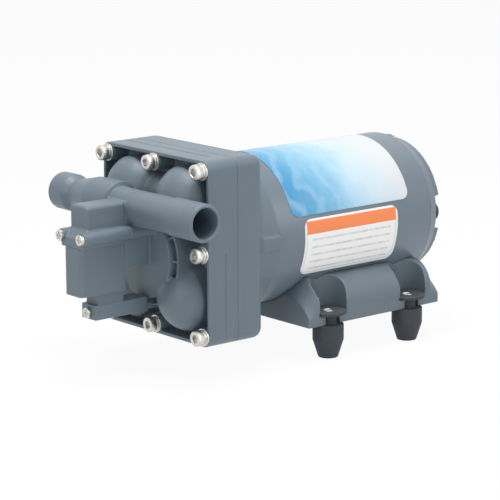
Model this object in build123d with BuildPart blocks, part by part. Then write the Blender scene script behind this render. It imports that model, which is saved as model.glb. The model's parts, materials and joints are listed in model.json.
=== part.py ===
"""Caravan water pump: four diaphragm chambers worked by a wobble plate on a magnet motor.

Millimetres. +Z is up and the pump axis runs along Y: the wet head faces -Y, the motor
is at +Y, and the ports open to -X (inlet) and +X (outlet). The origin is on the floor,
at the centre of the four rubber feet.
"""
from build123d import *
from math import atan2, cos, degrees, hypot, pi, radians, sin
import os

os.makedirs("parts", exist_ok=True)

# Clearances that many pieces share
slide_gap = 0.05
fit_gap = 0.2
overrun = 3.0

# Head: the cover in front, the drive housing behind
axis_height = 69.0
head_width = 92.0
head_height = 100.0
head_corner_radius = 5.0
rim_y = -115.5
cover_depth = 19.5
drive_depth = 19.0
rim_wall = 2.0
recess_depth = 10.5
side_groove_width = 1.0
side_groove_depth = 0.6
side_groove_setback = 11.4
side_groove_end = 5.5

seam_y = rim_y + cover_depth
drive_back_y = seam_y + drive_depth
recess_floor_y = rim_y + recess_depth

# Head bolts and the washers under their heads
bolt_radius = 2.5
bolt_length = 35.0
bolt_head_radius = 4.2
bolt_head_height = 4.1
hex_key_width = 4.0
hex_key_depth = 2.6
washer_radius = 4.8
washer_thickness = 1.0
spring_washer_radius = 4.2
spring_washer_thickness = 1.2
spring_washer_cut = 0.8
bolt_boss_radius = 4.9
bolt_inset_x = 5.0
bolt_inset_z = 5.5
washer_bore = bolt_radius + fit_gap

# Chambers, domes and the outlet disc of the cover
chamber_inset_x = 24.0
chamber_inset_z = 23.5
chamber_radius = 12.5
chamber_depth = 6.5
dome_radius = 18.0
dome_skirt = 9.5
dome_rise = 12.5
dome_wall = 2.5
leaf_radius = 15.2
diaphragm_leaf_radius = 17.0
diaphragm_rim = 2.0
plate_web = 4.3
plate_leaf_height = 11.3
dome_bridge_radius = 10.5
dome_bridge_reach = 3.0
disc_drop = 5.5
disc_reach = 20.2
disc_crown = 0.8
disc_ring_inset = 17.0
disc_ring_reach = 16.8
disc_ring_width = 4.0
disc_groove_width = 3.2
disc_groove_depth = 3.0
disc_rib_width = 1.2
disc_rib_count = 12
outlet_well_radius = 10.0
outlet_well_front = 2.2

# Ports and the tower that carries them
port_forward = 16.5
port_rise = 22.4
outlet_end = 64.0
outlet_collar_start = 38.0
outlet_collar_radius = 10.2
outlet_neck_radius = 9.5
inlet_end = 62.0
inlet_collar_length = 12.0
inlet_collar_radius = 10.3
inlet_waist_radius = 8.0
inlet_waist = 46.0
inlet_shoulder = 28.0
inlet_shoulder_radius = 12.0
port_edge = 0.8
port_bore_radius = 8.2
outlet_bore_depth = 24.0
inlet_bore_depth = 11.0
waterway_radius = 5.5
waterway_wall = 4.0
drop_radius = 3.2
drop_offset = 6.7
riser_radius = 2.5
riser_setback = 5.0
drop_floor_gap = 3.0
tower_half_width = 7.5
tower_forward = 26.0
tower_top = 27.0
tower_foot = -9.0
tower_root_half_width = 12.0
tower_root_forward = 9.5
tap_radius = 1.2
tap_offset = 5.4
tap_drop = 4.0

port_y = rim_y - port_forward
port_height = axis_height + port_rise
tower_y = rim_y - tower_forward

# Pressure switch on the front of the tower
switch_half_width = tower_half_width
switch_seam_rise = 5.0
switch_cap_front = 50.0
switch_base_front = 55.0
switch_flange_height = 5.0
switch_flange_half_width = 9.5
switch_slope_height = 5.0
switch_edge = 2.0
switch_bevel = 1.6
switch_base_height = 26.0
switch_floor = 3.0
switch_wall = 1.6
switch_roof = 3.0
neck_half_width = 5.5
neck_front = 42.5
neck_height = 6.0
neck_wall = 1.4
foot_flange_height = 8.0
foot_flange_half_width = 6.0
foot_flange_front = 45.0
foot_boss_front = 10.5
foot_boss_radius = 4.0
ear_x = 9.0
ear_rise = 10.5
ear_radius = 3.6
ear_front = 55.0
foot_screw_rise = 3.6
switch_screw_radius = 1.5
switch_screw_head_radius = 2.9
switch_screw_head_height = 2.0
switch_screw_bite = 9.0
cross_slot_width = 0.8
cross_slot_depth = 1.0
tap_chamber_forward = 33.0
tap_chamber_radius = 5.2
tap_chamber_top = 15.4
switch_diaphragm_radius = 6.5
switch_diaphragm_thickness = 1.5
plunger_head_radius = 5.0
plunger_head_height = 2.9
plunger_flange_radius = 4.4
plunger_flange_height = 1.9
plunger_stem_radius = 2.5
plunger_stem_length = 6.6
plunger_gap = 0.1
plunger_arm_half_width = 1.8
microswitch_half_width = 3.2
microswitch_length = 15.0
microswitch_front = 53.2
button_radius = 1.1
button_length = 3.0
button_proud = 1.5
button_well = 5.0
terminal_width = 3.0
terminal_thickness = 0.6
terminal_pitch = 4.8
terminal_length = 2.8
adjuster_radius = 2.0
adjuster_head_width = 6.0
adjuster_head_height = 3.4
adjuster_seat_radius = 3.9
adjuster_seat_height = 1.0
switch_spring_radius = 3.3
switch_spring_wire = 0.4
switch_spring_turns = 6

switch_seam_height = axis_height + switch_seam_rise
switch_cap_top = axis_height + tower_top
switch_base_bottom = switch_seam_height - switch_base_height
foot_flange_top = switch_base_bottom - neck_height
foot_flange_bottom = foot_flange_top - foot_flange_height
foot_screw_height = foot_flange_bottom + foot_screw_rise
ear_places = [(side * ear_x, ear_rise) for side in (-1, 1)]
switch_cap_front_y = rim_y - switch_cap_front
switch_base_front_y = rim_y - switch_base_front
tap_y = rim_y - tap_chamber_forward
ear_front_y = rim_y - ear_front
foot_boss_front_y = rim_y - foot_boss_front
foot_flange_front_y = rim_y - foot_flange_front

# Valves and seals
umbrella_radius = 5.0
umbrella_thickness = 0.8
umbrella_stem_radius = 1.2
umbrella_bulb_radius = 1.7
umbrella_bulb_length = 1.6
valve_hole_radius = 1.0
valve_hole_count = 4
outlet_umbrella_radius = 7.0
outlet_boss_height = 8.0
outlet_duct_width = 4.0
outlet_duct_depth = 2.5
gallery_width = 6.0
gallery_depth = 2.0
seal_section = 0.9

# Diaphragm, pistons and wobble plate
tilt_angle = 3.0
pivot_setback = 10.0
diaphragm_skin = 1.0
pad_radius = 8.8
convolution_radius = 12.2
convolution_bulge = 0.8
post_hole_radius = 4.0
post_radius = 2.8
rocker_radius = 8.3
rocker_thickness = 4.6
rocker_gap = 0.6
piston_radius = 8.5
piston_thickness = 2.8
piston_screw_radius = 1.5
piston_screw_head_radius = 2.8
piston_screw_head_height = 1.6
piston_screw_length = 9.0
arm_width = 9.0
arm_thickness = 4.4
arm_front = 5.9
hub_radius = 15.5
hub_back = 3.4
backing_thickness = 2.6
backing_hole_radius = 12.8
cavity_leaf_radius = 13.0
cavity_depth = 17.0

# Ball bearings: bore, outer radius, width, ball radius, ball count
cam_bearing_bore = 6.0
cam_bearing_radius = 12.0
cam_bearing_width = 6.0
cam_ball_radius = 1.5
shaft_bearing_bore = 4.0
shaft_bearing_radius = 11.0
shaft_bearing_width = 7.0
shaft_ball_radius = 1.9
bearing_gap = 2.2
ball_count = 9
cage_thickness = 0.8
bearing_lip_bore = 9.0

# Cam hub and motor shaft
shaft_radius = shaft_bearing_bore
shaft_front_inset = 0.6
shaft_back_proud = 2.0
cam_collar_radius = 7.5
cam_collar_front = 3.7
cam_collar_back = 6.7
cam_neck_radius = 5.2
set_screw_radius = 1.0
set_screw_inset = 0.3

# Motor
can_radius = 42.5
can_wall = 2.0
can_length = 120.7
collar_radius = 44.0
collar_length = 11.5
collar_key_half_height = 4.0
collar_key_proud = 1.0
bulkhead_inset = 5.8
drive_back_round = 6.0
end_cap_depth = 8.0
end_cap_radius = 39.0
end_ring_height = 3.0
end_ring_width = 6.0
end_notch_height = 19.0
end_lip_length = 3.5
end_lip_wall = 3.0
end_wall = 3.5
bearing_boss_radius = 14.0
rear_bearing_inset = 3.5
magnet_inner_radius = 34.2
magnet_setback = 17.2
magnet_length = 56.0
magnet_half_angle = 68.0
clip_thickness = 1.0
clip_gap_angle = 1.0
core_radius = 33.5
core_setback = 19.2
core_length = 50.0
slot_count = 12
slot_circle = 27.0
slot_radius = 3.4
slot_mouth = 2.0
winding_radius = 3.2
end_turn_inner = 14.0
end_turn_outer = 30.0
end_turn_length = 7.0
commutator_radius = 12.0
commutator_setback = 83.2
commutator_length = 18.0
commutator_slot_width = 0.8
commutator_slot_depth = 1.5
brush_width = 8.0
brush_height = 6.0
brush_length = 15.0
holder_wall = 2.0
holder_start = 14.0
holder_end = 36.0
holder_end_wall = 2.0
brush_spring_radius = 2.2
brush_spring_wire = 0.3
brush_spring_turns = 5
card_thickness = 2.0
card_bore = 13.2
tie_bolt_radius = 2.0
tie_bolt_offset = 36.5
tie_bolt_bite = 4.3
tie_head_radius = 3.4
tie_head_height = 3.0
tie_boss_radius = 4.5
grommet_x = 33.5
grommet_radius = 4.0
grommet_flange_radius = 5.5
grommet_flange = 2.0
lead_hole_radius = 1.3
lead_hole_offset = 1.9

can_inner_radius = can_radius - can_wall
pivot_y = seam_y + pivot_setback
bulkhead_y = drive_back_y + bulkhead_inset
can_seam_y = bulkhead_y + can_length
rear_bearing_y = can_seam_y - rear_bearing_inset
magnet_front_y = bulkhead_y + magnet_setback
magnet_back_y = magnet_front_y + magnet_length
core_front_y = bulkhead_y + core_setback
commutator_front_y = bulkhead_y + commutator_setback
brush_y = commutator_front_y + commutator_length / 2
end_face_y = can_seam_y + end_cap_depth

# Labels on the can, angles from +X upwards round the pump axis
label_thickness = 0.25
label_corner = 5.0
product_label_setback = 17.7
product_label_length = 87.0
product_label_angles = (16.0, 164.0)
notice_label_setback = 25.7
notice_label_length = 69.0
notice_label_angles = (-31.0, 13.0)

# Bracket and rubber feet
bracket_drop = 50.0
bracket_edge = 5.5
bracket_half_width = 48.0
bracket_setback = 23.7
bracket_overhang = 1.5
bracket_slope = 7.5
saddle_x = 34.6
saddle_drop = 24.5
saddle_sag = 6.2
end_saddle_x = 27.0
end_saddle_drop = 34.0
end_saddle_sag = 2.6
scoop_radius = 10.6
foot_x = 44.0
foot_y = 30.0
foot_setback = 71.2
foot_neck_radius = 4.8
foot_body_radius = 8.7
foot_tip_radius = 5.5
foot_taper_share = 0.53
foot_flange_radius = 10.2
foot_flange_thickness = 2.0
foot_bore_radius = 3.4
sleeve_wall = 0.9
pocket_width = 16.0
pocket_length = 18.0
pocket_depth = 5.0
pocket_x = 21.0
pocket_pitch = 21.0
pocket_count = 3
bracket_screw_radius = 2.0
bracket_screw_head_radius = 3.8
bracket_screw_head_height = 2.4
bracket_screw_spacing = 84.0

bracket_bottom = axis_height - bracket_drop
bracket_front_y = bulkhead_y + bracket_setback
bracket_back_y = can_seam_y + bracket_overhang
saddle_height = axis_height - saddle_drop
end_saddle_height = axis_height - end_saddle_drop
foot_line_y = bulkhead_y + foot_setback
foot_taper_height = foot_taper_share * bracket_bottom

chamber_x = head_width / 2 - chamber_inset_x
chamber_z = head_height / 2 - chamber_inset_z
chamber_places = [(sx * chamber_x, sz * chamber_z) for sx in (-1, 1) for sz in (-1, 1)]
bolt_x = head_width / 2 - bolt_inset_x
bolt_z = head_height / 2 - bolt_inset_z
disc_ring_radius = bolt_z - disc_ring_inset
disc_radius = disc_ring_radius - disc_ring_width
bolt_places = [(sx * bolt_x, sz * bolt_z) for sx in (-1, 0, 1) for sz in (-1, 1)]
bolt_places += [(-bolt_x, 0), (bolt_x, 0)]


def section(y, x=0, z=0):
    """Plane square to the pump axis at y, facing forwards: local x is right, local y is up."""
    return Plane(origin=(x, y, axis_height + z), x_dir=(1, 0, 0), z_dir=(0, -1, 0))


def upright(y):
    """The same plane with its origin on the floor."""
    return Plane(origin=(0, y, 0), x_dir=(1, 0, 0), z_dir=(0, -1, 0))


def tilted(forward, x=0, z=0):
    """Plane of the wobble plate, at a distance in front of the pivot along the tilted axis."""
    lean = radians(tilt_angle)
    pivot = Plane(
        origin=(0, pivot_y, axis_height), x_dir=(1, 0, 0), z_dir=(0, -cos(lean), -sin(lean))
    )
    return Plane(origin=pivot.from_local_coords((x, z, forward)), x_dir=(1, 0, 0), z_dir=pivot.z_dir)


def level(height, x=0, y=0):
    """Horizontal plane at a height above the floor."""
    return Plane(origin=(x, y, height), x_dir=(1, 0, 0), z_dir=(0, 0, 1))


def profile_of(face):
    """Plane through a face's axis: local x is the radius, local y runs out of the face."""
    return Plane(origin=face.origin, x_dir=face.x_dir, z_dir=-face.y_dir)


def axis_of(face):
    """Line through a face's origin, square to it."""
    return Axis(face.origin, face.z_dir)


def clover(leaf):
    """Outline with a leaf round each chamber and the bridge between them."""
    Rectangle(2 * chamber_x, 2 * chamber_z)
    with Locations(*chamber_places):
        Circle(leaf)


def round_cap(radius, base, rise):
    """Arc of the ball that rises over a circle, from its edge to its middle."""
    ball = (radius**2 + rise**2) / (2 * rise)
    centre = base + rise - ball
    half_way = (atan2(base - centre, radius) + pi / 2) / 2
    middle = (ball * cos(half_way), centre + ball * sin(half_way))
    ThreePointArc((radius, base), middle, (0, base + rise))


def arc_band(inner, outer, start, end):
    """Part of a ring between two angles."""
    with BuildLine() as outline:
        outside = CenterArc((0, 0), outer, start, end - start)
        inside = CenterArc((0, 0), inner, start, end - start)
        Line(outside @ 0, inside @ 0)
        Line(outside @ 1, inside @ 1)
    make_face(edges=outline.edges())


# Front cover: rim box with its recess, four domes, the outlet disc, the tower and both ports
port_line = Plane(origin=(0, port_y, port_height), x_dir=(1, 0, 0), z_dir=(0, -1, 0))
with BuildPart() as head_cover:
    with BuildSketch(section(seam_y)):
        RectangleRounded(head_width, head_height, head_corner_radius)
    extrude(amount=cover_depth)
    with BuildSketch(section(recess_floor_y)):
        RectangleRounded(
            head_width - 2 * rim_wall, head_height - 2 * rim_wall, head_corner_radius - rim_wall
        )
    extrude(amount=recess_depth + overrun, mode=Mode.SUBTRACT)
    groove_y = rim_y + side_groove_setback
    with BuildSketch(section(groove_y + side_groove_width / 2)):
        groove_height = head_height / 2 - side_groove_end
        for side in (-1, 1):
            with Locations((side * head_width / 2, -groove_height / 2)):
                Rectangle(2 * side_groove_depth, groove_height)
        with Locations((-side_groove_end, head_height / 2)):
            Rectangle(head_width - 2 * side_groove_end - side_groove_end, 2 * side_groove_depth)
    extrude(amount=side_groove_width, mode=Mode.SUBTRACT)
    with BuildSketch(section(recess_floor_y)):
        with Locations(*bolt_places):
            Circle(bolt_boss_radius)
    extrude(amount=recess_depth)

    for x, z in chamber_places:
        dome_face = section(recess_floor_y, x, z)
        with BuildSketch(profile_of(dome_face)):
            with BuildLine():
                Polyline(
                    (0, dome_skirt + dome_rise), (0, 0), (dome_radius, 0), (dome_radius, dome_skirt)
                )
                round_cap(dome_radius, dome_skirt, dome_rise)
            make_face()
        revolve(axis=axis_of(dome_face))

    for z in (-chamber_z, chamber_z):
        bridge_origin = (-chamber_x, recess_floor_y - dome_bridge_reach, axis_height + z)
        with BuildSketch(Plane(origin=bridge_origin, x_dir=(0, 1, 0), z_dir=(1, 0, 0))):
            Circle(dome_bridge_radius)
        extrude(amount=2 * chamber_x)

    disc_face = section(recess_floor_y, 0, -disc_drop)
    with BuildSketch(disc_face):
        Circle(disc_ring_radius)
    extrude(amount=disc_ring_reach)
    with BuildSketch(disc_face.offset(disc_ring_reach - disc_groove_depth)):
        Circle(disc_radius + disc_groove_width)
        Circle(disc_radius, mode=Mode.SUBTRACT)
        with PolarLocations((disc_radius + disc_ring_radius) / 2, disc_rib_count):
            Rectangle(2 * disc_groove_width, disc_rib_width, mode=Mode.SUBTRACT)
    extrude(amount=disc_groove_depth, mode=Mode.SUBTRACT)
    with BuildSketch(profile_of(disc_face)):
        with BuildLine():
            Polyline((0, disc_reach), (0, 0), (disc_radius, 0), (disc_radius, disc_reach - disc_crown))
            round_cap(disc_radius, disc_reach - disc_crown, disc_crown)
        make_face()
    revolve(axis=axis_of(disc_face))

    tower_middle = (tower_top + tower_foot) / 2
    with BuildSketch(section(recess_floor_y)):
        with Locations((0, tower_middle)):
            Rectangle(2 * tower_root_half_width, tower_top - tower_foot)
    extrude(amount=recess_depth + tower_root_forward)
    with BuildSketch(section(recess_floor_y)):
        with Locations((0, tower_middle)):
            Rectangle(2 * tower_half_width, tower_top - tower_foot)
        with Locations(*ear_places):
            Circle(ear_radius)
    extrude(amount=recess_floor_y - tower_y)
    with BuildSketch(section(recess_floor_y)):
        with Locations((0, foot_screw_height - axis_height)):
            Circle(foot_boss_radius)
    extrude(amount=recess_floor_y - foot_boss_front_y)

    with BuildSketch(port_line):
        with BuildLine():
            Polyline(
                (-inlet_waist, inlet_waist_radius),
                (-inlet_shoulder, inlet_shoulder_radius),
                (-tower_half_width - port_edge, inlet_shoulder_radius),
                (-tower_half_width, outlet_neck_radius),
                (outlet_collar_start, outlet_neck_radius),
                (outlet_collar_start + port_edge, outlet_collar_radius),
                (outlet_end - port_edge, outlet_collar_radius),
                (outlet_end, outlet_collar_radius - port_edge),
                (outlet_end, 0),
                (-inlet_end, 0),
                (-inlet_end, inlet_collar_radius - port_edge),
                (-inlet_end + port_edge, inlet_collar_radius),
                (-inlet_end + inlet_collar_length, inlet_collar_radius),
                (-inlet_waist, inlet_waist_radius),
            )
        make_face()
    revolve(axis=Axis(port_line.origin, (1, 0, 0)))

    # Pockets for the diaphragm rim, the valve plate and the outlet valve, open to the seam
    with BuildSketch(section(seam_y)):
        clover(diaphragm_leaf_radius + fit_gap)
    extrude(amount=diaphragm_rim, mode=Mode.SUBTRACT)
    with BuildSketch(section(seam_y)):
        clover(leaf_radius + fit_gap)
    extrude(amount=diaphragm_rim + plate_web + fit_gap, mode=Mode.SUBTRACT)
    with BuildSketch(section(seam_y)):
        with Locations(*chamber_places):
            Circle(leaf_radius + fit_gap)
    extrude(amount=diaphragm_rim + plate_leaf_height + fit_gap, mode=Mode.SUBTRACT)
    plenum_floor = cover_depth - recess_depth
    plenum_start = diaphragm_rim + plate_leaf_height - plenum_floor
    plenum_rise = dome_skirt + dome_rise - dome_wall - plenum_start
    for x, z in chamber_places:
        plenum_face = section(recess_floor_y, x, z).offset(plenum_start)
        with BuildSketch(profile_of(plenum_face)):
            with BuildLine():
                Polyline((0, plenum_rise), (0, 0), (dome_radius - 2 * dome_wall, 0))
                round_cap(dome_radius - 2 * dome_wall, 0, plenum_rise)
            make_face()
        revolve(axis=axis_of(plenum_face), mode=Mode.SUBTRACT)
    with BuildSketch(section(seam_y, 0, -disc_drop)):
        Circle(outlet_well_radius)
    extrude(amount=plenum_floor + disc_reach - outlet_well_front, mode=Mode.SUBTRACT)

    # Bores of the ports, then the ways down into the head and forwards to the switch
    for way, end, depth in ((1, outlet_end, outlet_bore_depth), (-1, inlet_end, inlet_bore_depth)):
        mouth = Plane(origin=(way * end, port_y, port_height), x_dir=(0, way, 0), z_dir=(-way, 0, 0))
        with BuildSketch(mouth):
            Circle(port_bore_radius)
        extrude(amount=depth, mode=Mode.SUBTRACT)
        with BuildSketch(mouth):
            Circle(waterway_radius)
        extrude(amount=end - waterway_wall, mode=Mode.SUBTRACT)
    with BuildSketch(section(port_y, -drop_offset - waterway_wall / 2, port_rise)):
        Circle(drop_radius)
    extrude(amount=port_y - recess_floor_y + drop_floor_gap, mode=Mode.SUBTRACT)
    riser_y = rim_y - riser_setback
    with BuildSketch(section(riser_y, drop_offset, port_rise)):
        Circle(drop_radius)
    extrude(amount=riser_y - port_y, mode=Mode.SUBTRACT)
    with BuildSketch(level(axis_height - disc_drop, drop_offset, riser_y)):
        Circle(riser_radius)
    extrude(amount=disc_drop + port_rise, mode=Mode.SUBTRACT)
    with BuildSketch(section(port_y, tap_offset, port_rise - tap_drop)):
        Circle(tap_radius)
    extrude(amount=port_y - tower_y, mode=Mode.SUBTRACT)

    # Screw holes
    with BuildSketch(section(seam_y)):
        with Locations(*bolt_places):
            Circle(washer_bore)
    extrude(amount=cover_depth, mode=Mode.SUBTRACT)
    with BuildSketch(section(tower_y + switch_screw_bite)):
        with Locations(*ear_places):
            Circle(switch_screw_radius + slide_gap)
    extrude(amount=switch_screw_bite, mode=Mode.SUBTRACT)
    with BuildSketch(section(foot_boss_front_y + switch_screw_bite)):
        with Locations((0, foot_screw_height - axis_height)):
            Circle(switch_screw_radius + slide_gap)
    extrude(amount=switch_screw_bite, mode=Mode.SUBTRACT)
head_cover.part.label = "head_cover"
export_step(head_cover.part, "parts/head_cover.step")

# Drive housing: the box behind the seam, the bulkhead with the front bearing, and the can's collar
bearing_front_y = bulkhead_y - shaft_bearing_width
cavity_back_y = seam_y + cavity_depth
bolt_seat_y = rim_y - washer_thickness - spring_washer_thickness
bolt_end_y = bolt_seat_y + bolt_length
tie_bolt_end_y = bulkhead_y - tie_bolt_bite
with BuildPart() as drive_housing:
    with BuildSketch(section(drive_back_y)):
        RectangleRounded(head_width, head_height, head_corner_radius)
    extrude(amount=drive_depth)
    back_edges = drive_housing.faces().sort_by(Axis.Y)[-1].edges()
    fillet(back_edges, radius=drive_back_round)
    with BuildSketch(section(drive_back_y + collar_length)):
        Circle(collar_radius)
    extrude(amount=collar_length + drive_depth / 2)
    with BuildSketch(section(drive_back_y + collar_length + collar_key_proud)):
        Rectangle(2 * (collar_radius + collar_key_proud), 2 * collar_key_half_height)
    extrude(amount=collar_length + collar_key_proud)
    with BuildSketch(section(drive_back_y + collar_length + collar_key_proud)):
        Circle(can_radius)
    extrude(amount=drive_back_y + collar_length + collar_key_proud - bulkhead_y, mode=Mode.SUBTRACT)
    with BuildSketch(section(cavity_back_y)):
        clover(cavity_leaf_radius)
    extrude(amount=cavity_depth, mode=Mode.SUBTRACT)
    with BuildSketch(section(seam_y + backing_thickness)):
        clover(leaf_radius)
    extrude(amount=backing_thickness, mode=Mode.SUBTRACT)
    with BuildSketch(section(bulkhead_y)):
        Circle(shaft_bearing_radius)
    extrude(amount=shaft_bearing_width, mode=Mode.SUBTRACT)
    with BuildSketch(section(bulkhead_y)):
        Circle(bearing_lip_bore)
    extrude(amount=bulkhead_y - cavity_back_y, mode=Mode.SUBTRACT)
    with BuildSketch(section(bolt_end_y + fit_gap)):
        with Locations(*bolt_places):
            Circle(bolt_radius + slide_gap)
    extrude(amount=bolt_end_y + fit_gap - seam_y, mode=Mode.SUBTRACT)
    with BuildSketch(section(bulkhead_y)):
        with Locations((0, tie_bolt_offset), (0, -tie_bolt_offset)):
            Circle(tie_bolt_radius + slide_gap)
    extrude(amount=tie_bolt_bite + fit_gap, mode=Mode.SUBTRACT)
drive_housing.part.label = "drive_housing"
export_step(drive_housing.part, "parts/drive_housing.step")

# Head bolts with their hex sockets, flat washers and split spring washers
with BuildPart() as head_bolts:
    with BuildSketch(section(bolt_end_y)):
        with Locations(*bolt_places):
            Circle(bolt_radius)
    extrude(amount=bolt_length)
    with BuildSketch(section(bolt_seat_y)):
        with Locations(*bolt_places):
            Circle(bolt_head_radius)
    extrude(amount=bolt_head_height)
    with BuildSketch(section(bolt_seat_y - bolt_head_height + hex_key_depth)):
        with Locations(*bolt_places):
            RegularPolygon(hex_key_width / 2, 6, major_radius=False)
    extrude(amount=hex_key_depth, mode=Mode.SUBTRACT)
head_bolts.part.label = "head_bolts"
export_step(head_bolts.part, "parts/head_bolts.step")

with BuildPart() as head_washers:
    with BuildSketch(section(rim_y)):
        with Locations(*bolt_places):
            Circle(washer_radius)
            Circle(washer_bore, mode=Mode.SUBTRACT)
    extrude(amount=washer_thickness)
head_washers.part.label = "head_washers"
export_step(head_washers.part, "parts/head_washers.step")

with BuildPart() as head_spring_washers:
    with BuildSketch(section(rim_y - washer_thickness)):
        for x, z in bolt_places:
            with Locations((x, z)):
                Circle(spring_washer_radius)
                Circle(washer_bore, mode=Mode.SUBTRACT)
            cut_height = 2 * (spring_washer_radius - bolt_radius)
            with Locations((x, z - spring_washer_radius)):
                Rectangle(spring_washer_cut, cut_height, mode=Mode.SUBTRACT)
    extrude(amount=spring_washer_thickness)
head_spring_washers.part.label = "head_spring_washers"
export_step(head_spring_washers.part, "parts/head_spring_washers.step")

# Valve plate: chamber recesses, valve holes, outlet ducts behind and inlet galleries in front
plate_back_y = seam_y - diaphragm_rim
chamber_roof_y = plate_back_y - chamber_depth
outlet_seat_y = plate_back_y - outlet_boss_height
umbrella_hole_circle = umbrella_radius - umbrella_bulb_radius
with BuildPart() as valve_plate:
    with BuildSketch(section(plate_back_y)):
        clover(leaf_radius)
    extrude(amount=plate_web)
    with BuildSketch(section(plate_back_y)):
        with Locations(*chamber_places):
            Circle(leaf_radius)
    extrude(amount=plate_leaf_height)
    with BuildSketch(section(plate_back_y, 0, -disc_drop)):
        Circle(outlet_well_radius - fit_gap)
    extrude(amount=outlet_boss_height)
    with BuildSketch(section(plate_back_y)):
        with Locations(*chamber_places):
            Circle(chamber_radius)
    extrude(amount=chamber_depth, mode=Mode.SUBTRACT)
    with BuildSketch(section(plate_back_y)):
        with Locations(*chamber_places):
            Circle(umbrella_stem_radius)
            with PolarLocations(umbrella_hole_circle, valve_hole_count):
                Circle(valve_hole_radius)
    extrude(amount=plate_leaf_height, mode=Mode.SUBTRACT)
    with BuildSketch(section(plate_back_y, 0, -disc_drop)):
        Circle(outlet_duct_width)
    extrude(amount=outlet_duct_depth, mode=Mode.SUBTRACT)
    for x, z in chamber_places:
        with BuildSketch(section(plate_back_y)):
            with BuildLine():
                duct_line = Line((0, -disc_drop), (x, z))
            duct = SlotCenterToCenter(
                duct_line.length, outlet_duct_width, mode=Mode.PRIVATE
            )
            middle = duct_line @ 0.5
            lean = duct_line.tangent_angle_at(0)
            add(duct.rotate(Axis.Z, lean).moved(Location(middle)))
        extrude(amount=outlet_duct_depth, mode=Mode.SUBTRACT)
    with BuildSketch(section(plate_back_y, 0, -disc_drop)):
        Circle(umbrella_stem_radius)
        with PolarLocations(outlet_umbrella_radius / 2, valve_hole_count):
            Circle(valve_hole_radius)
    extrude(amount=outlet_boss_height, mode=Mode.SUBTRACT)
    with BuildSketch(section(plate_back_y - plate_web + gallery_depth)):
        for side in (-1, 1):
            with Locations((side * (chamber_x - gallery_width / 2), 0)):
                Rectangle(gallery_width, 2 * chamber_z)
    extrude(amount=gallery_depth, mode=Mode.SUBTRACT)
valve_plate.part.label = "valve_plate"
export_step(valve_plate.part, "parts/valve_plate.step")

# Umbrella valves: a cap over its holes, a stem through the plate and a bulb that holds it
with BuildPart() as inlet_valves:
    for x, z in chamber_places:
        valve_face = section(chamber_roof_y + umbrella_thickness, x, z)
        with BuildSketch(profile_of(valve_face)):
            with BuildLine():
                stem_end = umbrella_thickness + plate_leaf_height - chamber_depth
                Polyline(
                    (0, 0),
                    (umbrella_radius, 0),
                    (umbrella_radius, umbrella_thickness),
                    (umbrella_stem_radius, umbrella_thickness),
                    (umbrella_stem_radius, stem_end),
                    (umbrella_bulb_radius, stem_end),
                    (0, stem_end + umbrella_bulb_length),
                    close=True,
                )
            make_face()
        revolve(axis=axis_of(valve_face))
inlet_valves.part.label = "inlet_valves"
export_step(inlet_valves.part, "parts/inlet_valves.step")

outlet_face = section(outlet_seat_y - umbrella_thickness, 0, -disc_drop)
with BuildPart() as outlet_valve:
    with BuildSketch(profile_of(outlet_face)):
        with BuildLine():
            stem_end = -umbrella_thickness - outlet_boss_height + outlet_duct_depth
            Polyline(
                (0, 0),
                (outlet_umbrella_radius, 0),
                (outlet_umbrella_radius, -umbrella_thickness),
                (umbrella_stem_radius, -umbrella_thickness),
                (umbrella_stem_radius, stem_end),
                (umbrella_bulb_radius, stem_end),
                (0, stem_end - umbrella_bulb_length),
                close=True,
            )
        make_face()
    revolve(axis=axis_of(outlet_face))
outlet_valve.part.label = "outlet_valve"
export_step(outlet_valve.part, "parts/outlet_valve.step")

# Diaphragm: a clamped clover with a rolling convolution and a pad for each piston
lean = radians(tilt_angle)
with BuildPart() as diaphragm:
    with BuildSketch(section(seam_y)):
        clover(diaphragm_leaf_radius)
        with Locations(*chamber_places):
            Circle(convolution_radius, mode=Mode.SUBTRACT)
    extrude(amount=diaphragm_rim)
    for x, z in chamber_places:
        skin_face = section(seam_y - diaphragm_rim / 2, x, z)
        lift = z * sin(lean)
        half = diaphragm_skin / 2
        middle = (pad_radius + convolution_radius) / 2
        anchor = convolution_radius + half
        crest = lift / 2 - convolution_bulge
        with BuildSketch(profile_of(skin_face)):
            with BuildLine():
                Line((post_hole_radius, lift - half), (pad_radius, lift - half))
                ThreePointArc((pad_radius, lift - half), (middle, crest - half), (anchor, -half))
                Line((anchor, -half), (anchor, half))
                ThreePointArc((anchor, half), (middle, crest + half), (pad_radius, lift + half))
                Line((pad_radius, lift + half), (post_hole_radius, lift + half))
                Line((post_hole_radius, lift + half), (post_hole_radius, lift - half))
            make_face()
        revolve(axis=axis_of(skin_face))
diaphragm.part.label = "diaphragm"
export_step(diaphragm.part, "parts/diaphragm.step")

# Backing plate behind the diaphragm, let into the drive housing
with BuildPart() as backing_plate:
    with BuildSketch(section(seam_y + backing_thickness)):
        clover(leaf_radius - fit_gap)
        with Locations(*chamber_places):
            Circle(backing_hole_radius, mode=Mode.SUBTRACT)
    extrude(amount=backing_thickness)
backing_plate.part.label = "backing_plate"
export_step(backing_plate.part, "parts/backing_plate.step")

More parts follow.
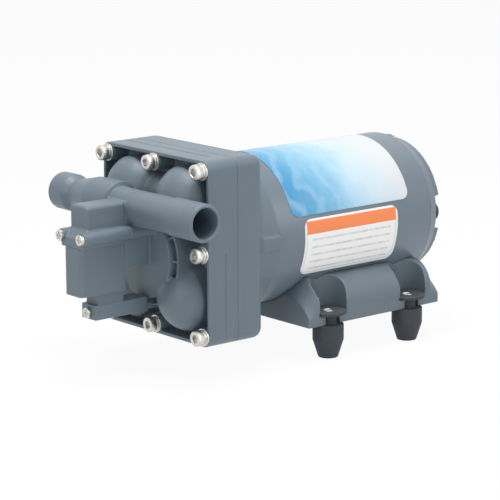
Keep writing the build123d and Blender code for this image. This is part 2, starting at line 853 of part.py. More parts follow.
# Wobble plate: a hub round the cam bearing, four arms, and a rocker with a post at each chamber
skin_forward = pivot_y - (seam_y - diaphragm_rim / 2)
rocker_front = skin_forward - diaphragm_skin / 2 - rocker_gap
piston_back = skin_forward + diaphragm_skin / 2 + rocker_gap
hub_web_back = cam_bearing_width / 2 + rocker_gap
arm_lean = degrees(atan2(chamber_z, chamber_x))
with BuildPart() as wobble_plate:
    with BuildSketch(tilted(-hub_back)):
        Circle(hub_radius)
    extrude(amount=hub_back + arm_front)
    with BuildSketch(tilted(arm_front - arm_thickness)):
        for turn in (-1, 1):
            Rectangle(2 * hypot(chamber_x, chamber_z), arm_width, rotation=turn * arm_lean)
    extrude(amount=arm_thickness)
    with BuildSketch(tilted(rocker_front - rocker_thickness)):
        with Locations(*chamber_places):
            Circle(rocker_radius)
    extrude(amount=rocker_thickness)
    with BuildSketch(tilted(rocker_front)):
        with Locations(*chamber_places):
            Circle(post_radius)
    extrude(amount=piston_back - rocker_front)
    with BuildSketch(tilted(-cam_bearing_width / 2)):
        Circle(cam_bearing_radius)
    extrude(amount=cam_bearing_width, mode=Mode.SUBTRACT)
    with BuildSketch(tilted(-hub_back)):
        Circle(cam_bearing_radius)
    extrude(amount=hub_back, mode=Mode.SUBTRACT)
    with BuildSketch(tilted(0)):
        Circle(cam_bearing_radius - bearing_gap / 2)
    extrude(amount=hub_web_back, mode=Mode.SUBTRACT)
    with BuildSketch(tilted(piston_back + piston_thickness - piston_screw_length)):
        with Locations(*chamber_places):
            Circle(piston_screw_radius)
    extrude(amount=piston_screw_length, mode=Mode.SUBTRACT)
wobble_plate.part.label = "wobble_plate"
export_step(wobble_plate.part, "parts/wobble_plate.step")

# Pistons in front of the diaphragm, each held by one countersunk screw
with BuildPart() as pistons:
    with BuildSketch(tilted(piston_back)):
        with Locations(*chamber_places):
            Circle(piston_radius)
            Circle(piston_screw_radius, mode=Mode.SUBTRACT)
    extrude(amount=piston_thickness)
    with BuildSketch(tilted(piston_back + piston_thickness - piston_screw_head_height)):
        with Locations(*chamber_places):
            Circle(piston_screw_head_radius)
    extrude(amount=piston_screw_head_height, mode=Mode.SUBTRACT)
pistons.part.label = "pistons"
export_step(pistons.part, "parts/pistons.step")

with BuildPart() as piston_screws:
    with BuildSketch(tilted(piston_back + piston_thickness - piston_screw_length)):
        with Locations(*chamber_places):
            Circle(piston_screw_radius)
    extrude(amount=piston_screw_length)
    with BuildSketch(tilted(piston_back + piston_thickness - piston_screw_head_height)):
        with Locations(*chamber_places):
            Circle(piston_screw_head_radius)
    extrude(amount=piston_screw_head_height)
piston_screws.part.label = "piston_screws"
export_step(piston_screws.part, "parts/piston_screws.step")


def race(face, inner, outer, width, pitch, ball):
    """One grooved ring of a ball bearing, standing on a face."""
    with BuildPart() as ring:
        with BuildSketch(profile_of(face)):
            with Locations(((inner + outer) / 2, width / 2)):
                Rectangle(outer - inner, width)
            with Locations((pitch, width / 2)):
                Circle(ball + slide_gap, mode=Mode.SUBTRACT)
        revolve(axis=axis_of(face))
    return ring


def ball_cage(face, width, pitch, ball):
    """The balls of a bearing, each in its pocket in the ring of the cage."""
    middle_face = face.offset(width / 2)
    with BuildPart() as cage:
        with BuildSketch(profile_of(face)):
            with Locations((pitch, width / 2)):
                Rectangle(cage_thickness, 2 * ball + cage_thickness)
        revolve(axis=axis_of(face))
        for place in PolarLocations(pitch, ball_count).locations:
            outwards = middle_face.from_local_coords(place.position) - middle_face.origin
            with BuildSketch(Plane(origin=middle_face.origin, z_dir=outwards)):
                Circle(ball + slide_gap)
            extrude(amount=pitch + ball, mode=Mode.SUBTRACT)
        for place in PolarLocations(pitch, ball_count).locations:
            with Locations(middle_face.from_local_coords(place.position)):
                Sphere(ball)
    return cage


# Ball bearings: one on the leaning cam, one at each end of the motor shaft
shaft_bearing = (shaft_bearing_bore, shaft_bearing_radius, shaft_bearing_width, shaft_ball_radius)
cam_bearing = (cam_bearing_bore, cam_bearing_radius, cam_bearing_width, cam_ball_radius)
bearings = {
    "cam": (tilted(-cam_bearing_width / 2), *cam_bearing),
    "front": (section(bulkhead_y), *shaft_bearing),
    "rear": (section(rear_bearing_y + shaft_bearing_width), *shaft_bearing),
}
for place, (face, bore, outer, width, ball) in bearings.items():
    pitch = (bore + outer) / 2
    inner_race = race(face, bore, pitch - bearing_gap / 2, width, pitch, ball)
    inner_race.part.label = f"{place}_bearing_inner"
    export_step(inner_race.part, f"parts/{place}_bearing_inner.step")
    outer_race = race(face, pitch + bearing_gap / 2, outer, width, pitch, ball)
    outer_race.part.label = f"{place}_bearing_outer"
    export_step(outer_race.part, f"parts/{place}_bearing_outer.step")
    balls = ball_cage(face, width, pitch, ball)
    balls.part.label = f"{place}_bearing_balls"
    export_step(balls.part, f"parts/{place}_bearing_balls.step")

# Motor shaft, and the cam hub whose journal leans with the wobble plate
shaft_front_y = pivot_y - cam_bearing_width / 2 + shaft_front_inset
shaft_back_y = rear_bearing_y + shaft_bearing_width + shaft_back_proud
with BuildPart() as motor_shaft:
    with BuildSketch(section(shaft_back_y)):
        Circle(shaft_radius)
    extrude(amount=shaft_back_y - shaft_front_y)
motor_shaft.part.label = "motor_shaft"
export_step(motor_shaft.part, "parts/motor_shaft.step")

set_screw_y = pivot_y + (cam_collar_front + cam_collar_back) / 2
with BuildPart() as cam_hub:
    with BuildSketch(tilted(-cam_collar_front - fit_gap)):
        Circle(cam_bearing_bore)
    extrude(amount=cam_collar_front + fit_gap + cam_bearing_width / 2)
    with BuildSketch(section(pivot_y + cam_collar_back)):
        Circle(cam_collar_radius)
    extrude(amount=cam_collar_back - cam_collar_front)
    with BuildSketch(section(bearing_front_y)):
        Circle(cam_neck_radius)
    extrude(amount=bearing_front_y - pivot_y - cam_collar_front)
    with BuildSketch(section(bearing_front_y)):
        Circle(shaft_radius)
    extrude(amount=2 * (bearing_front_y - pivot_y), mode=Mode.SUBTRACT)
    with BuildSketch(Plane(origin=(0, set_screw_y, axis_height), x_dir=(0, 1, 0), z_dir=(1, 0, 0))):
        Circle(set_screw_radius)
    extrude(amount=cam_collar_radius + overrun, mode=Mode.SUBTRACT)
cam_hub.part.label = "cam_hub"
export_step(cam_hub.part, "parts/cam_hub.step")

set_screw_face = Plane(
    origin=(shaft_radius + slide_gap, set_screw_y, axis_height), x_dir=(0, 1, 0), z_dir=(1, 0, 0)
)
with BuildPart() as cam_set_screw:
    with BuildSketch(set_screw_face):
        Circle(set_screw_radius)
    extrude(amount=cam_collar_radius - shaft_radius - set_screw_inset)
cam_set_screw.part.label = "cam_set_screw"
export_step(cam_set_screw.part, "parts/cam_set_screw.step")

# Motor can and its end cap, with the rear bearing seat and the broken ring behind
with BuildPart() as motor_can:
    with BuildSketch(section(can_seam_y)):
        Circle(can_radius)
        Circle(can_inner_radius, mode=Mode.SUBTRACT)
    extrude(amount=can_seam_y - bulkhead_y)
motor_can.part.label = "motor_can"
export_step(motor_can.part, "parts/motor_can.step")

rear_bearing_back_y = rear_bearing_y + shaft_bearing_width
tie_places = [(0, tie_bolt_offset), (0, -tie_bolt_offset)]
tie_seat_y = end_face_y + end_ring_height - tie_head_height
with BuildPart() as motor_end_cap:
    with BuildSketch(profile_of(section(end_face_y))):
        with BuildLine():
            Polyline(
                (0, 0),
                (end_cap_radius, 0),
                (can_radius, end_cap_depth),
                (can_inner_radius, end_cap_depth),
                (can_inner_radius, end_cap_depth + end_lip_length),
                (can_inner_radius - end_lip_wall, end_cap_depth + end_lip_length),
                (can_inner_radius - end_lip_wall, end_wall),
                (bearing_boss_radius, end_wall),
                (bearing_boss_radius, end_face_y - rear_bearing_y),
                (shaft_bearing_radius, end_face_y - rear_bearing_y),
                (shaft_bearing_radius, end_face_y - rear_bearing_back_y),
                (cam_neck_radius, end_face_y - rear_bearing_back_y),
                (cam_neck_radius, end_wall / 2),
                (0, end_wall / 2),
                close=True,
            )
        make_face()
    revolve(axis=axis_of(section(end_face_y)))
    with BuildSketch(section(end_face_y + end_ring_height)):
        Circle(end_cap_radius)
        Circle(end_cap_radius - end_ring_width, mode=Mode.SUBTRACT)
        Rectangle(2 * can_radius, end_notch_height, mode=Mode.SUBTRACT)
    extrude(amount=end_ring_height)
    with BuildSketch(section(end_face_y)):
        with Locations(*tie_places):
            Circle(tie_boss_radius)
    extrude(amount=end_cap_depth)
    with BuildSketch(section(end_face_y + end_ring_height)):
        with Locations(*tie_places):
            Circle(tie_head_radius + fit_gap)
    extrude(amount=tie_head_height, mode=Mode.SUBTRACT)
    with BuildSketch(section(end_face_y)):
        with Locations(*tie_places):
            Circle(tie_bolt_radius + fit_gap)
    extrude(amount=end_cap_depth + end_lip_length, mode=Mode.SUBTRACT)
    with BuildSketch(section(end_face_y)):
        with Locations((grommet_x, 0)):
            Circle(grommet_radius)
    extrude(amount=end_wall, mode=Mode.SUBTRACT)
motor_end_cap.part.label = "motor_end_cap"
export_step(motor_end_cap.part, "parts/motor_end_cap.step")

grommet_face = section(end_face_y + grommet_flange, grommet_x)
with BuildPart() as lead_grommet:
    with BuildSketch(grommet_face):
        Circle(grommet_flange_radius)
    extrude(amount=grommet_flange)
    with BuildSketch(section(end_face_y, grommet_x)):
        Circle(grommet_radius)
    extrude(amount=end_wall)
    with BuildSketch(grommet_face):
        with Locations((0, lead_hole_offset), (0, -lead_hole_offset)):
            Circle(lead_hole_radius)
    extrude(amount=grommet_flange + end_wall, mode=Mode.SUBTRACT)
lead_grommet.part.label = "lead_grommet"
export_step(lead_grommet.part, "parts/lead_grommet.step")

with BuildPart() as tie_bolts:
    with BuildSketch(section(tie_seat_y)):
        with Locations(*tie_places):
            Circle(tie_bolt_radius)
    extrude(amount=tie_seat_y - tie_bolt_end_y)
    with BuildSketch(section(tie_seat_y + tie_head_height)):
        with Locations(*tie_places):
            Circle(tie_head_radius)
    extrude(amount=tie_head_height)
tie_bolts.part.label = "tie_bolts"
export_step(tie_bolts.part, "parts/tie_bolts.step")

# Magnets on the flanks of the can, with the spring clips that spread them
with BuildPart() as magnets:
    with BuildSketch(section(magnet_back_y)):
        for middle in (0, 180):
            start = middle - magnet_half_angle
            arc_band(magnet_inner_radius, can_inner_radius, start, start + 2 * magnet_half_angle)
    extrude(amount=magnet_back_y - magnet_front_y)
magnets.part.label = "magnets"
export_step(magnets.part, "parts/magnets.step")

clip_half_angle = 90 - magnet_half_angle - clip_gap_angle
with BuildPart() as magnet_clips:
    with BuildSketch(section(magnet_back_y)):
        for middle in (90, 270):
            start = middle - clip_half_angle
            inner = can_inner_radius - clip_thickness
            arc_band(inner, can_inner_radius, start, start + 2 * clip_half_angle)
    extrude(amount=magnet_back_y - magnet_front_y)
magnet_clips.part.label = "magnet_clips"
export_step(magnet_clips.part, "parts/magnet_clips.step")

# Armature: slotted core, the windings in its slots and the commutator
core_back_y = core_front_y + core_length
with BuildPart() as armature_core:
    with BuildSketch(section(core_back_y)):
        Circle(core_radius)
        Circle(shaft_radius, mode=Mode.SUBTRACT)
        with PolarLocations(slot_circle, slot_count):
            Circle(slot_radius, mode=Mode.SUBTRACT)
        with PolarLocations(core_radius, slot_count):
            Rectangle(2 * (core_radius - slot_circle), slot_mouth, mode=Mode.SUBTRACT)
    extrude(amount=core_length)
armature_core.part.label = "armature_core"
export_step(armature_core.part, "parts/armature_core.step")

with BuildPart() as armature_windings:
    with BuildSketch(section(core_back_y)):
        with PolarLocations(slot_circle, slot_count):
            Circle(winding_radius)
    extrude(amount=core_length)
    for end_y in (core_front_y, core_back_y + end_turn_length):
        with BuildSketch(section(end_y)):
            Circle(end_turn_outer)
            Circle(end_turn_inner, mode=Mode.SUBTRACT)
        extrude(amount=end_turn_length)
armature_windings.part.label = "armature_windings"
export_step(armature_windings.part, "parts/armature_windings.step")

with BuildPart() as commutator:
    with BuildSketch(section(commutator_front_y + commutator_length)):
        Circle(commutator_radius)
        Circle(shaft_radius, mode=Mode.SUBTRACT)
        with PolarLocations(commutator_radius, slot_count):
            Rectangle(2 * commutator_slot_depth, commutator_slot_width, mode=Mode.SUBTRACT)
    extrude(amount=commutator_length)
commutator.part.label = "commutator"
export_step(commutator.part, "parts/commutator.step")

# Brush card with its two holders, the brushes and their springs
holder_half_depth = brush_width / 2 + holder_wall
card_front_y = brush_y + holder_half_depth
with BuildPart() as brush_card:
    with BuildSketch(section(card_front_y + card_thickness)):
        Circle(can_inner_radius)
        Circle(card_bore, mode=Mode.SUBTRACT)
        with Locations(*tie_places):
            Circle(tie_bolt_radius + fit_gap, mode=Mode.SUBTRACT)
    extrude(amount=card_thickness)
brush_card.part.label = "brush_card"
export_step(brush_card.part, "parts/brush_card.step")

with BuildPart() as brush_holders:
    for side in (-1, 1):
        holder_face = Plane(
            origin=(side * holder_start, brush_y, axis_height), x_dir=(0, 1, 0), z_dir=(side, 0, 0)
        )
        with BuildSketch(holder_face):
            Rectangle(2 * holder_half_depth, brush_height + 2 * holder_wall)
        extrude(amount=holder_end - holder_start)
        with BuildSketch(holder_face):
            Rectangle(brush_width + 2 * slide_gap, brush_height + 2 * slide_gap)
        extrude(amount=holder_end - holder_start - holder_end_wall, mode=Mode.SUBTRACT)
brush_holders.part.label = "brush_holders"
export_step(brush_holders.part, "parts/brush_holders.step")

spring_seat_x = holder_end - holder_end_wall
brush_end_x = commutator_radius + brush_length
spring_run = spring_seat_x - brush_end_x - 2 * brush_spring_wire - 2 * slide_gap
for side, hand in ((-1, "left"), (1, "right")):
    brush_face = Plane(origin=(0, brush_y, axis_height), x_dir=(0, 1, 0), z_dir=(side, 0, 0))
    with BuildPart() as brush:
        with BuildSketch(brush_face):
            Rectangle(brush_width, brush_height)
        extrude(amount=brush_end_x)
        with BuildSketch(section(brush_y + brush_width)):
            Circle(commutator_radius + slide_gap)
        extrude(amount=2 * brush_width, mode=Mode.SUBTRACT)
    brush.part.label = f"brush_{hand}"
    export_step(brush.part, f"parts/brush_{hand}.step")

    spring_origin = (side * (brush_end_x + brush_spring_wire + slide_gap), brush_y, axis_height)
    with BuildPart() as brush_spring:
        with BuildLine():
            coil = Helix(
                spring_run / brush_spring_turns,
                spring_run,
                brush_spring_radius,
                center=spring_origin,
                direction=(side, 0, 0),
            )
        with BuildSketch(Plane(origin=coil @ 0, z_dir=coil % 0)):
            Circle(brush_spring_wire)
        sweep(is_frenet=True)
    brush_spring.part.label = f"brush_spring_{hand}"
    export_step(brush_spring.part, f"parts/brush_spring_{hand}.step")

# Labels: thin bands on the can, their corners rounded
labels = {
    "product_label": (product_label_setback, product_label_length, product_label_angles),
    "notice_label": (notice_label_setback, notice_label_length, notice_label_angles),
}
corner_angle = degrees(label_corner / can_radius)
label_radius = can_radius + label_thickness
for name, (setback, length, angles) in labels.items():
    start_angle, end_angle = angles
    front = bulkhead_y + setback
    back = front + length
    with BuildPart() as label:
        for angle in (start_angle + corner_angle, end_angle - corner_angle):
            outwards = (cos(radians(angle)), 0, sin(radians(angle)))
            for y in (front + label_corner, back - label_corner):
                with BuildSketch(Plane(origin=(0, y, axis_height), x_dir=(0, 1, 0), z_dir=outwards)):
                    Circle(label_corner)
                extrude(amount=can_radius + overrun)
        with BuildSketch(section(back)):
            Circle(label_radius)
            Circle(can_radius, mode=Mode.SUBTRACT)
        extrude(amount=back - front, mode=Mode.INTERSECT)
        with BuildSketch(section(back)):
            inner_start = start_angle + corner_angle
            arc_band(can_radius, label_radius, inner_start, end_angle - corner_angle)
        extrude(amount=back - front)
        with BuildSketch(section(back - label_corner)):
            arc_band(can_radius, label_radius, start_angle, end_angle)
        extrude(amount=back - front - 2 * label_corner)
    label.part.label = name
    export_step(label.part, f"parts/{name}.step")

# Mounting bracket: a plate with slots for the feet and a concave saddle under the can
foot_places = [(sx * foot_x, foot_line_y + sy * foot_y) for sx in (-1, 1) for sy in (-1, 1)]
screw_places = [(0, foot_line_y + side * bracket_screw_spacing / 2) for side in (-1, 1)]
edge_height = bracket_bottom + bracket_edge
stations = (
    (bracket_back_y, end_saddle_x, end_saddle_height, end_saddle_sag),
    (bracket_back_y - bracket_slope, saddle_x, saddle_height, saddle_sag),
    (bracket_front_y + bracket_slope, saddle_x, saddle_height, saddle_sag),
    (bracket_front_y, end_saddle_x, end_saddle_height, end_saddle_sag),
)
with BuildPart() as mounting_bracket:
    for station_y, top_x, top_z, sag in stations:
        with BuildSketch(upright(station_y)):
            with BuildLine():
                Line((-bracket_half_width, bracket_bottom), (bracket_half_width, bracket_bottom))
                Line((bracket_half_width, bracket_bottom), (bracket_half_width, edge_height))
                SagittaArc((bracket_half_width, edge_height), (top_x, top_z), -sag)
                Line((top_x, top_z), (-top_x, top_z))
                SagittaArc((-top_x, top_z), (-bracket_half_width, edge_height), -sag)
                Line((-bracket_half_width, edge_height), (-bracket_half_width, bracket_bottom))
            make_face()
    loft(ruled=True)
    with BuildSketch(section(bracket_back_y + overrun)):
        Circle(can_radius)
    extrude(amount=bracket_back_y - bracket_front_y + 2 * overrun, mode=Mode.SUBTRACT)
    with BuildSketch(level(edge_height)):
        with Locations(*foot_places):
            Circle(scoop_radius)
    extrude(amount=saddle_height - bracket_bottom, mode=Mode.SUBTRACT)
    with BuildSketch(level(bracket_bottom)):
        for x, y in foot_places:
            way = 1 if x > 0 else -1
            with Locations((x, y)):
                Circle(foot_neck_radius + fit_gap)
            with Locations((x + way * scoop_radius / 2, y)):
                Rectangle(scoop_radius, 2 * (foot_neck_radius + fit_gap))
    extrude(amount=bracket_edge, mode=Mode.SUBTRACT)
    with BuildSketch(level(bracket_bottom)):
        for side in (-1, 1):
            with Locations((side * pocket_x, foot_line_y)):
                with GridLocations(pocket_pitch, pocket_pitch, 1, pocket_count):
                    Rectangle(pocket_width, pocket_length)
    extrude(amount=pocket_depth, mode=Mode.SUBTRACT)
    with BuildSketch(level(bracket_bottom)):
        with Locations(*screw_places):
            Circle(bracket_screw_radius + slide_gap)
    extrude(amount=axis_height - bracket_bottom, mode=Mode.SUBTRACT)
    with BuildSketch(level(bracket_bottom)):
        with Locations(*screw_places):
            Circle(bracket_screw_head_radius + fit_gap)
    extrude(amount=bracket_screw_head_height, mode=Mode.SUBTRACT)
mounting_bracket.part.label = "mounting_bracket"
export_step(mounting_bracket.part, "parts/mounting_bracket.step")

# Screws that hold the bracket to the can, from below
can_bottom = axis_height - can_radius
bracket_screw_seat = bracket_bottom + bracket_screw_head_height
with BuildPart() as bracket_screws:
    with BuildSketch(level(bracket_bottom)):
        with Locations(*screw_places):
            Circle(bracket_screw_head_radius)
    extrude(amount=bracket_screw_head_height)
    with BuildSketch(level(bracket_screw_seat)):
        with Locations(*screw_places):
            Circle(bracket_screw_radius)
    extrude(amount=can_bottom - bracket_screw_seat - fit_gap)
bracket_screws.part.label = "bracket_screws"
export_step(bracket_screws.part, "parts/bracket_screws.step")

# Rubber feet pressed into the slots, each with a metal sleeve down its middle
foot_top = edge_height + foot_flange_thickness
with BuildPart() as rubber_feet:
    for x, y in foot_places:
        foot_face = level(0, x, y)
        with BuildSketch(profile_of(foot_face)):
            with BuildLine():
                Polyline(
                    (foot_bore_radius, 0),
                    (foot_tip_radius, 0),
                    (foot_body_radius, foot_taper_height),
                    (foot_body_radius, bracket_bottom),
                    (foot_neck_radius, bracket_bottom),
                    (foot_neck_radius, edge_height),
                    (foot_flange_radius, edge_height),
                    (foot_flange_radius, foot_top),
                    (foot_bore_radius, foot_top),
                    close=True,
                )
            make_face()
        revolve(axis=axis_of(foot_face))
rubber_feet.part.label = "rubber_feet"
export_step(rubber_feet.part, "parts/rubber_feet.step")

with BuildPart() as foot_sleeves:
    with BuildSketch(level(0)):
        with Locations(*foot_places):
            Circle(foot_bore_radius)
            Circle(foot_bore_radius - sleeve_wall, mode=Mode.SUBTRACT)
    extrude(amount=foot_top)
foot_sleeves.part.label = "foot_sleeves"
export_step(foot_sleeves.part, "parts/foot_sleeves.step")

# Seal round the outlet valve, between the valve plate and the cover
seal_front_y = seam_y - diaphragm_rim - plate_web
with BuildPart() as outlet_seal:
    with BuildSketch(section(seal_front_y, 0, -disc_drop)):
        Circle(outlet_well_radius + 2 * seal_section)
        Circle(outlet_well_radius + fit_gap, mode=Mode.SUBTRACT)
    extrude(amount=fit_gap)
outlet_seal.part.label = "outlet_seal"
export_step(outlet_seal.part, "parts/outlet_seal.step")

# Pressure switch cap: the wet half, on the tower
cap_depth = tower_y - switch_cap_front_y
base_depth = tower_y - switch_base_front_y
flange_top = switch_seam_height + switch_flange_height
with BuildPart() as switch_cap:
    with BuildSketch(level(switch_seam_height, 0, tower_y - base_depth / 2)):
        Rectangle(2 * switch_flange_half_width, base_depth)
    extrude(amount=switch_flange_height)
    with BuildSketch(level(flange_top, 0, tower_y - base_depth / 2)):
        Rectangle(2 * switch_flange_half_width, base_depth)
    with BuildSketch(level(flange_top + switch_slope_height, 0, tower_y - cap_depth / 2)):
        Rectangle(2 * switch_half_width, cap_depth)
    loft(ruled=True)
    with BuildSketch(level(flange_top, 0, tower_y - cap_depth / 2)):
        Rectangle(2 * switch_half_width, cap_depth)
    extrude(amount=switch_cap_top - flange_top)
    top_edges = switch_cap.faces().sort_by(Axis.Z)[-1].edges()
    fillet(top_edges.filter_by(Axis.Y) + top_edges.filter_by(Axis.X).sort_by(Axis.Y)[:1], switch_edge)
    with BuildSketch(section(tower_y)):
        with Locations(*ear_places):
            Circle(ear_radius)
    extrude(amount=tower_y - ear_front_y)
    with BuildSketch(section(tower_y)):
        with Locations(*ear_places):
            Circle(switch_screw_radius + slide_gap)
    extrude(amount=tower_y - ear_front_y, mode=Mode.SUBTRACT)
    with BuildSketch(level(switch_seam_height, 0, tap_y)):
        Circle(tap_chamber_radius)
    extrude(amount=tap_chamber_top, mode=Mode.SUBTRACT)
    with BuildSketch(section(tower_y, tap_offset, port_rise - tap_drop)):
        Circle(tap_radius)
    extrude(amount=tower_y - tap_y, mode=Mode.SUBTRACT)
switch_cap.part.label = "switch_cap"
export_step(switch_cap.part, "parts/switch_cap.step")

# Pressure switch base: the dry half, with the neck and the foot that reaches back to the cover
base_middle_y = tower_y - base_depth / 2
base_top = switch_seam_height
neck_front_y = rim_y - neck_front
with BuildPart() as switch_base:
    with BuildSketch(level(switch_base_bottom, 0, base_middle_y)):
        base_outline = Rectangle(2 * switch_half_width, base_depth)
        chamfer(base_outline.vertices().group_by(Axis.Y)[0], switch_bevel)
    extrude(amount=switch_base_height)
    with BuildSketch(level(switch_base_bottom + switch_floor, 0, base_middle_y + switch_wall / 2)):
        Rectangle(2 * (switch_half_width - switch_wall), base_depth - switch_wall)
    extrude(amount=switch_base_height - switch_floor - switch_roof, mode=Mode.SUBTRACT)
    with BuildSketch(level(base_top - switch_roof, 0, tap_y)):
        Circle(plunger_head_radius + fit_gap)
    extrude(amount=switch_roof, mode=Mode.SUBTRACT)
    with BuildSketch(level(base_top - switch_diaphragm_thickness, 0, tap_y)):
        Circle(switch_diaphragm_radius)
    extrude(amount=switch_diaphragm_thickness, mode=Mode.SUBTRACT)
    neck_depth = tower_y - neck_front_y
    with BuildSketch(level(foot_flange_top, 0, tower_y - neck_depth / 2)):
        Rectangle(2 * neck_half_width, neck_depth)
        with Locations((-neck_wall / 2, 0)):
            Rectangle(
                2 * neck_half_width - neck_wall, neck_depth - 2 * neck_wall, mode=Mode.SUBTRACT
            )
    extrude(amount=neck_height)
    foot_depth = foot_boss_front_y - foot_flange_front_y
    with BuildSketch(level(foot_flange_bottom, 0, foot_boss_front_y - foot_depth / 2)):
        Rectangle(2 * foot_flange_half_width, foot_depth)
    extrude(amount=foot_flange_height)
    with BuildSketch(section(foot_boss_front_y)):
        with Locations((0, foot_screw_height - axis_height)):
            Circle(switch_screw_radius + slide_gap)
    extrude(amount=foot_depth, mode=Mode.SUBTRACT)
    with BuildSketch(level(switch_base_bottom, 0, tap_y)):
        Circle(adjuster_radius + slide_gap)
    extrude(amount=switch_floor, mode=Mode.SUBTRACT)
    microswitch_middle_y = rim_y - microswitch_front + microswitch_length / 2
    terminal_places = [(0, side * terminal_pitch / 2) for side in (-1, 1)]
    with BuildSketch(level(switch_base_bottom, 0, microswitch_middle_y)):
        with Locations(*terminal_places):
            Rectangle(terminal_width + 2 * fit_gap, terminal_thickness + 2 * fit_gap)
    extrude(amount=switch_floor, mode=Mode.SUBTRACT)
switch_base.part.label = "switch_base"
export_step(switch_base.part, "parts/switch_base.step")

# Inside the switch: diaphragm, plunger with its arm, spring, adjuster and microswitch
diaphragm_seat = base_top - switch_diaphragm_thickness
with BuildPart() as switch_diaphragm:
    with BuildSketch(level(diaphragm_seat, 0, tap_y)):
        Circle(switch_diaphragm_radius)
    extrude(amount=switch_diaphragm_thickness)
switch_diaphragm.part.label = "switch_diaphragm"
export_step(switch_diaphragm.part, "parts/switch_diaphragm.step")

plunger_top = diaphragm_seat - plunger_gap
plunger_shoulder = plunger_top - plunger_head_height
plunger_ledge = plunger_shoulder - plunger_flange_height
arm_depth = tap_y - (microswitch_middle_y - button_radius)
with BuildPart() as switch_plunger:
    with BuildSketch(level(plunger_shoulder, 0, tap_y)):
        Circle(plunger_head_radius)
    extrude(amount=plunger_head_height)
    with BuildSketch(level(plunger_ledge, 0, tap_y)):
        Circle(plunger_flange_radius)
    extrude(amount=plunger_flange_height)
    with BuildSketch(level(plunger_ledge - plunger_stem_length, 0, tap_y)):
        Circle(plunger_stem_radius)
    extrude(amount=plunger_stem_length)
    with BuildSketch(level(plunger_ledge, 0, tap_y - arm_depth / 2)):
        Rectangle(2 * plunger_arm_half_width, arm_depth)
    extrude(amount=plunger_flange_height)
switch_plunger.part.label = "switch_plunger"
export_step(switch_plunger.part, "parts/switch_plunger.step")

button_top = plunger_ledge - plunger_gap
microswitch_bottom = switch_base_bottom + switch_floor
microswitch_top = button_top - button_proud
with BuildPart() as microswitch_body:
    with BuildSketch(level(microswitch_bottom, 0, microswitch_middle_y)):
        Rectangle(2 * microswitch_half_width, microswitch_length)
    extrude(amount=microswitch_top - microswitch_bottom)
    with BuildSketch(level(microswitch_top - button_well, 0, microswitch_middle_y)):
        Circle(button_radius + slide_gap)
    extrude(amount=button_well, mode=Mode.SUBTRACT)
microswitch_body.part.label = "microswitch_body"
export_step(microswitch_body.part, "parts/microswitch_body.step")

with BuildPart() as microswitch_button:
    with BuildSketch(level(button_top - button_length, 0, microswitch_middle_y)):
        Circle(button_radius)
    extrude(amount=button_length)
microswitch_button.part.label = "microswitch_button"
export_step(microswitch_button.part, "parts/microswitch_button.step")

with BuildPart() as microswitch_terminals:
    with BuildSketch(level(microswitch_bottom - terminal_length, 0, microswitch_middle_y)):
        with Locations(*terminal_places):
            Rectangle(terminal_width, terminal_thickness)
    extrude(amount=terminal_length)
microswitch_terminals.part.label = "microswitch_terminals"
export_step(microswitch_terminals.part, "parts/microswitch_terminals.step")

seat_bottom = switch_base_bottom + switch_floor + fit_gap
with BuildPart() as switch_adjuster:
    with BuildSketch(level(switch_base_bottom - fit_gap - adjuster_head_height, 0, tap_y)):
        RegularPolygon(adjuster_head_width / 2, 6, major_radius=False)
    extrude(amount=adjuster_head_height)
    with BuildSketch(level(switch_base_bottom - fit_gap, 0, tap_y)):
        Circle(adjuster_radius)
    extrude(amount=switch_floor + 2 * fit_gap)
    with BuildSketch(level(seat_bottom, 0, tap_y)):
        Circle(adjuster_seat_radius)
    extrude(amount=adjuster_seat_height)
switch_adjuster.part.label = "switch_adjuster"
export_step(switch_adjuster.part, "parts/switch_adjuster.step")

spring_bottom = seat_bottom + adjuster_seat_height + switch_spring_wire + slide_gap
spring_top = plunger_ledge - switch_spring_wire - slide_gap
with BuildPart() as switch_spring:
    with BuildLine():
        coil = Helix(
            (spring_top - spring_bottom) / switch_spring_turns,
            spring_top - spring_bottom,
            switch_spring_radius,
            center=(0, tap_y, spring_bottom),
        )
    with BuildSketch(Plane(origin=coil @ 0, z_dir=coil % 0)):
        Circle(switch_spring_wire)
    sweep(is_frenet=True)
switch_spring.part.label = "switch_spring"
export_step(switch_spring.part, "parts/switch_spring.step")

# Cross-slotted screws: two through the ears into the tower, one through the foot into its boss
screw_runs = [(x, z, ear_front_y, tower_y) for x, z in ear_places]
screw_runs.append((0, foot_screw_height - axis_height, foot_flange_front_y, foot_boss_front_y))
cross_slot_length = 2 * (switch_screw_head_radius - cross_slot_width)
with BuildPart() as switch_screws:
    for x, z, front, joint in screw_runs:
        with BuildSketch(section(joint + switch_screw_bite - fit_gap, x, z)):
            Circle(switch_screw_radius)
        extrude(amount=joint + switch_screw_bite - fit_gap - front)
        with BuildSketch(section(front, x, z)):
            Circle(switch_screw_head_radius)
        extrude(amount=switch_screw_head_height)
        with BuildSketch(section(front - switch_screw_head_height + cross_slot_depth, x, z)):
            for turn in (0, 90):
                Rectangle(cross_slot_length, cross_slot_width, rotation=turn)
        extrude(amount=cross_slot_depth, mode=Mode.SUBTRACT)
switch_screws.part.label = "switch_screws"
export_step(switch_screws.part, "parts/switch_screws.step")
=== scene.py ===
"""Looks of the caravan water pump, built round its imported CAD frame. Metres, +Z up."""
import json
from math import atan2, cos, degrees, pi, radians

import bmesh
import bpy
from mathutils import Matrix, Vector


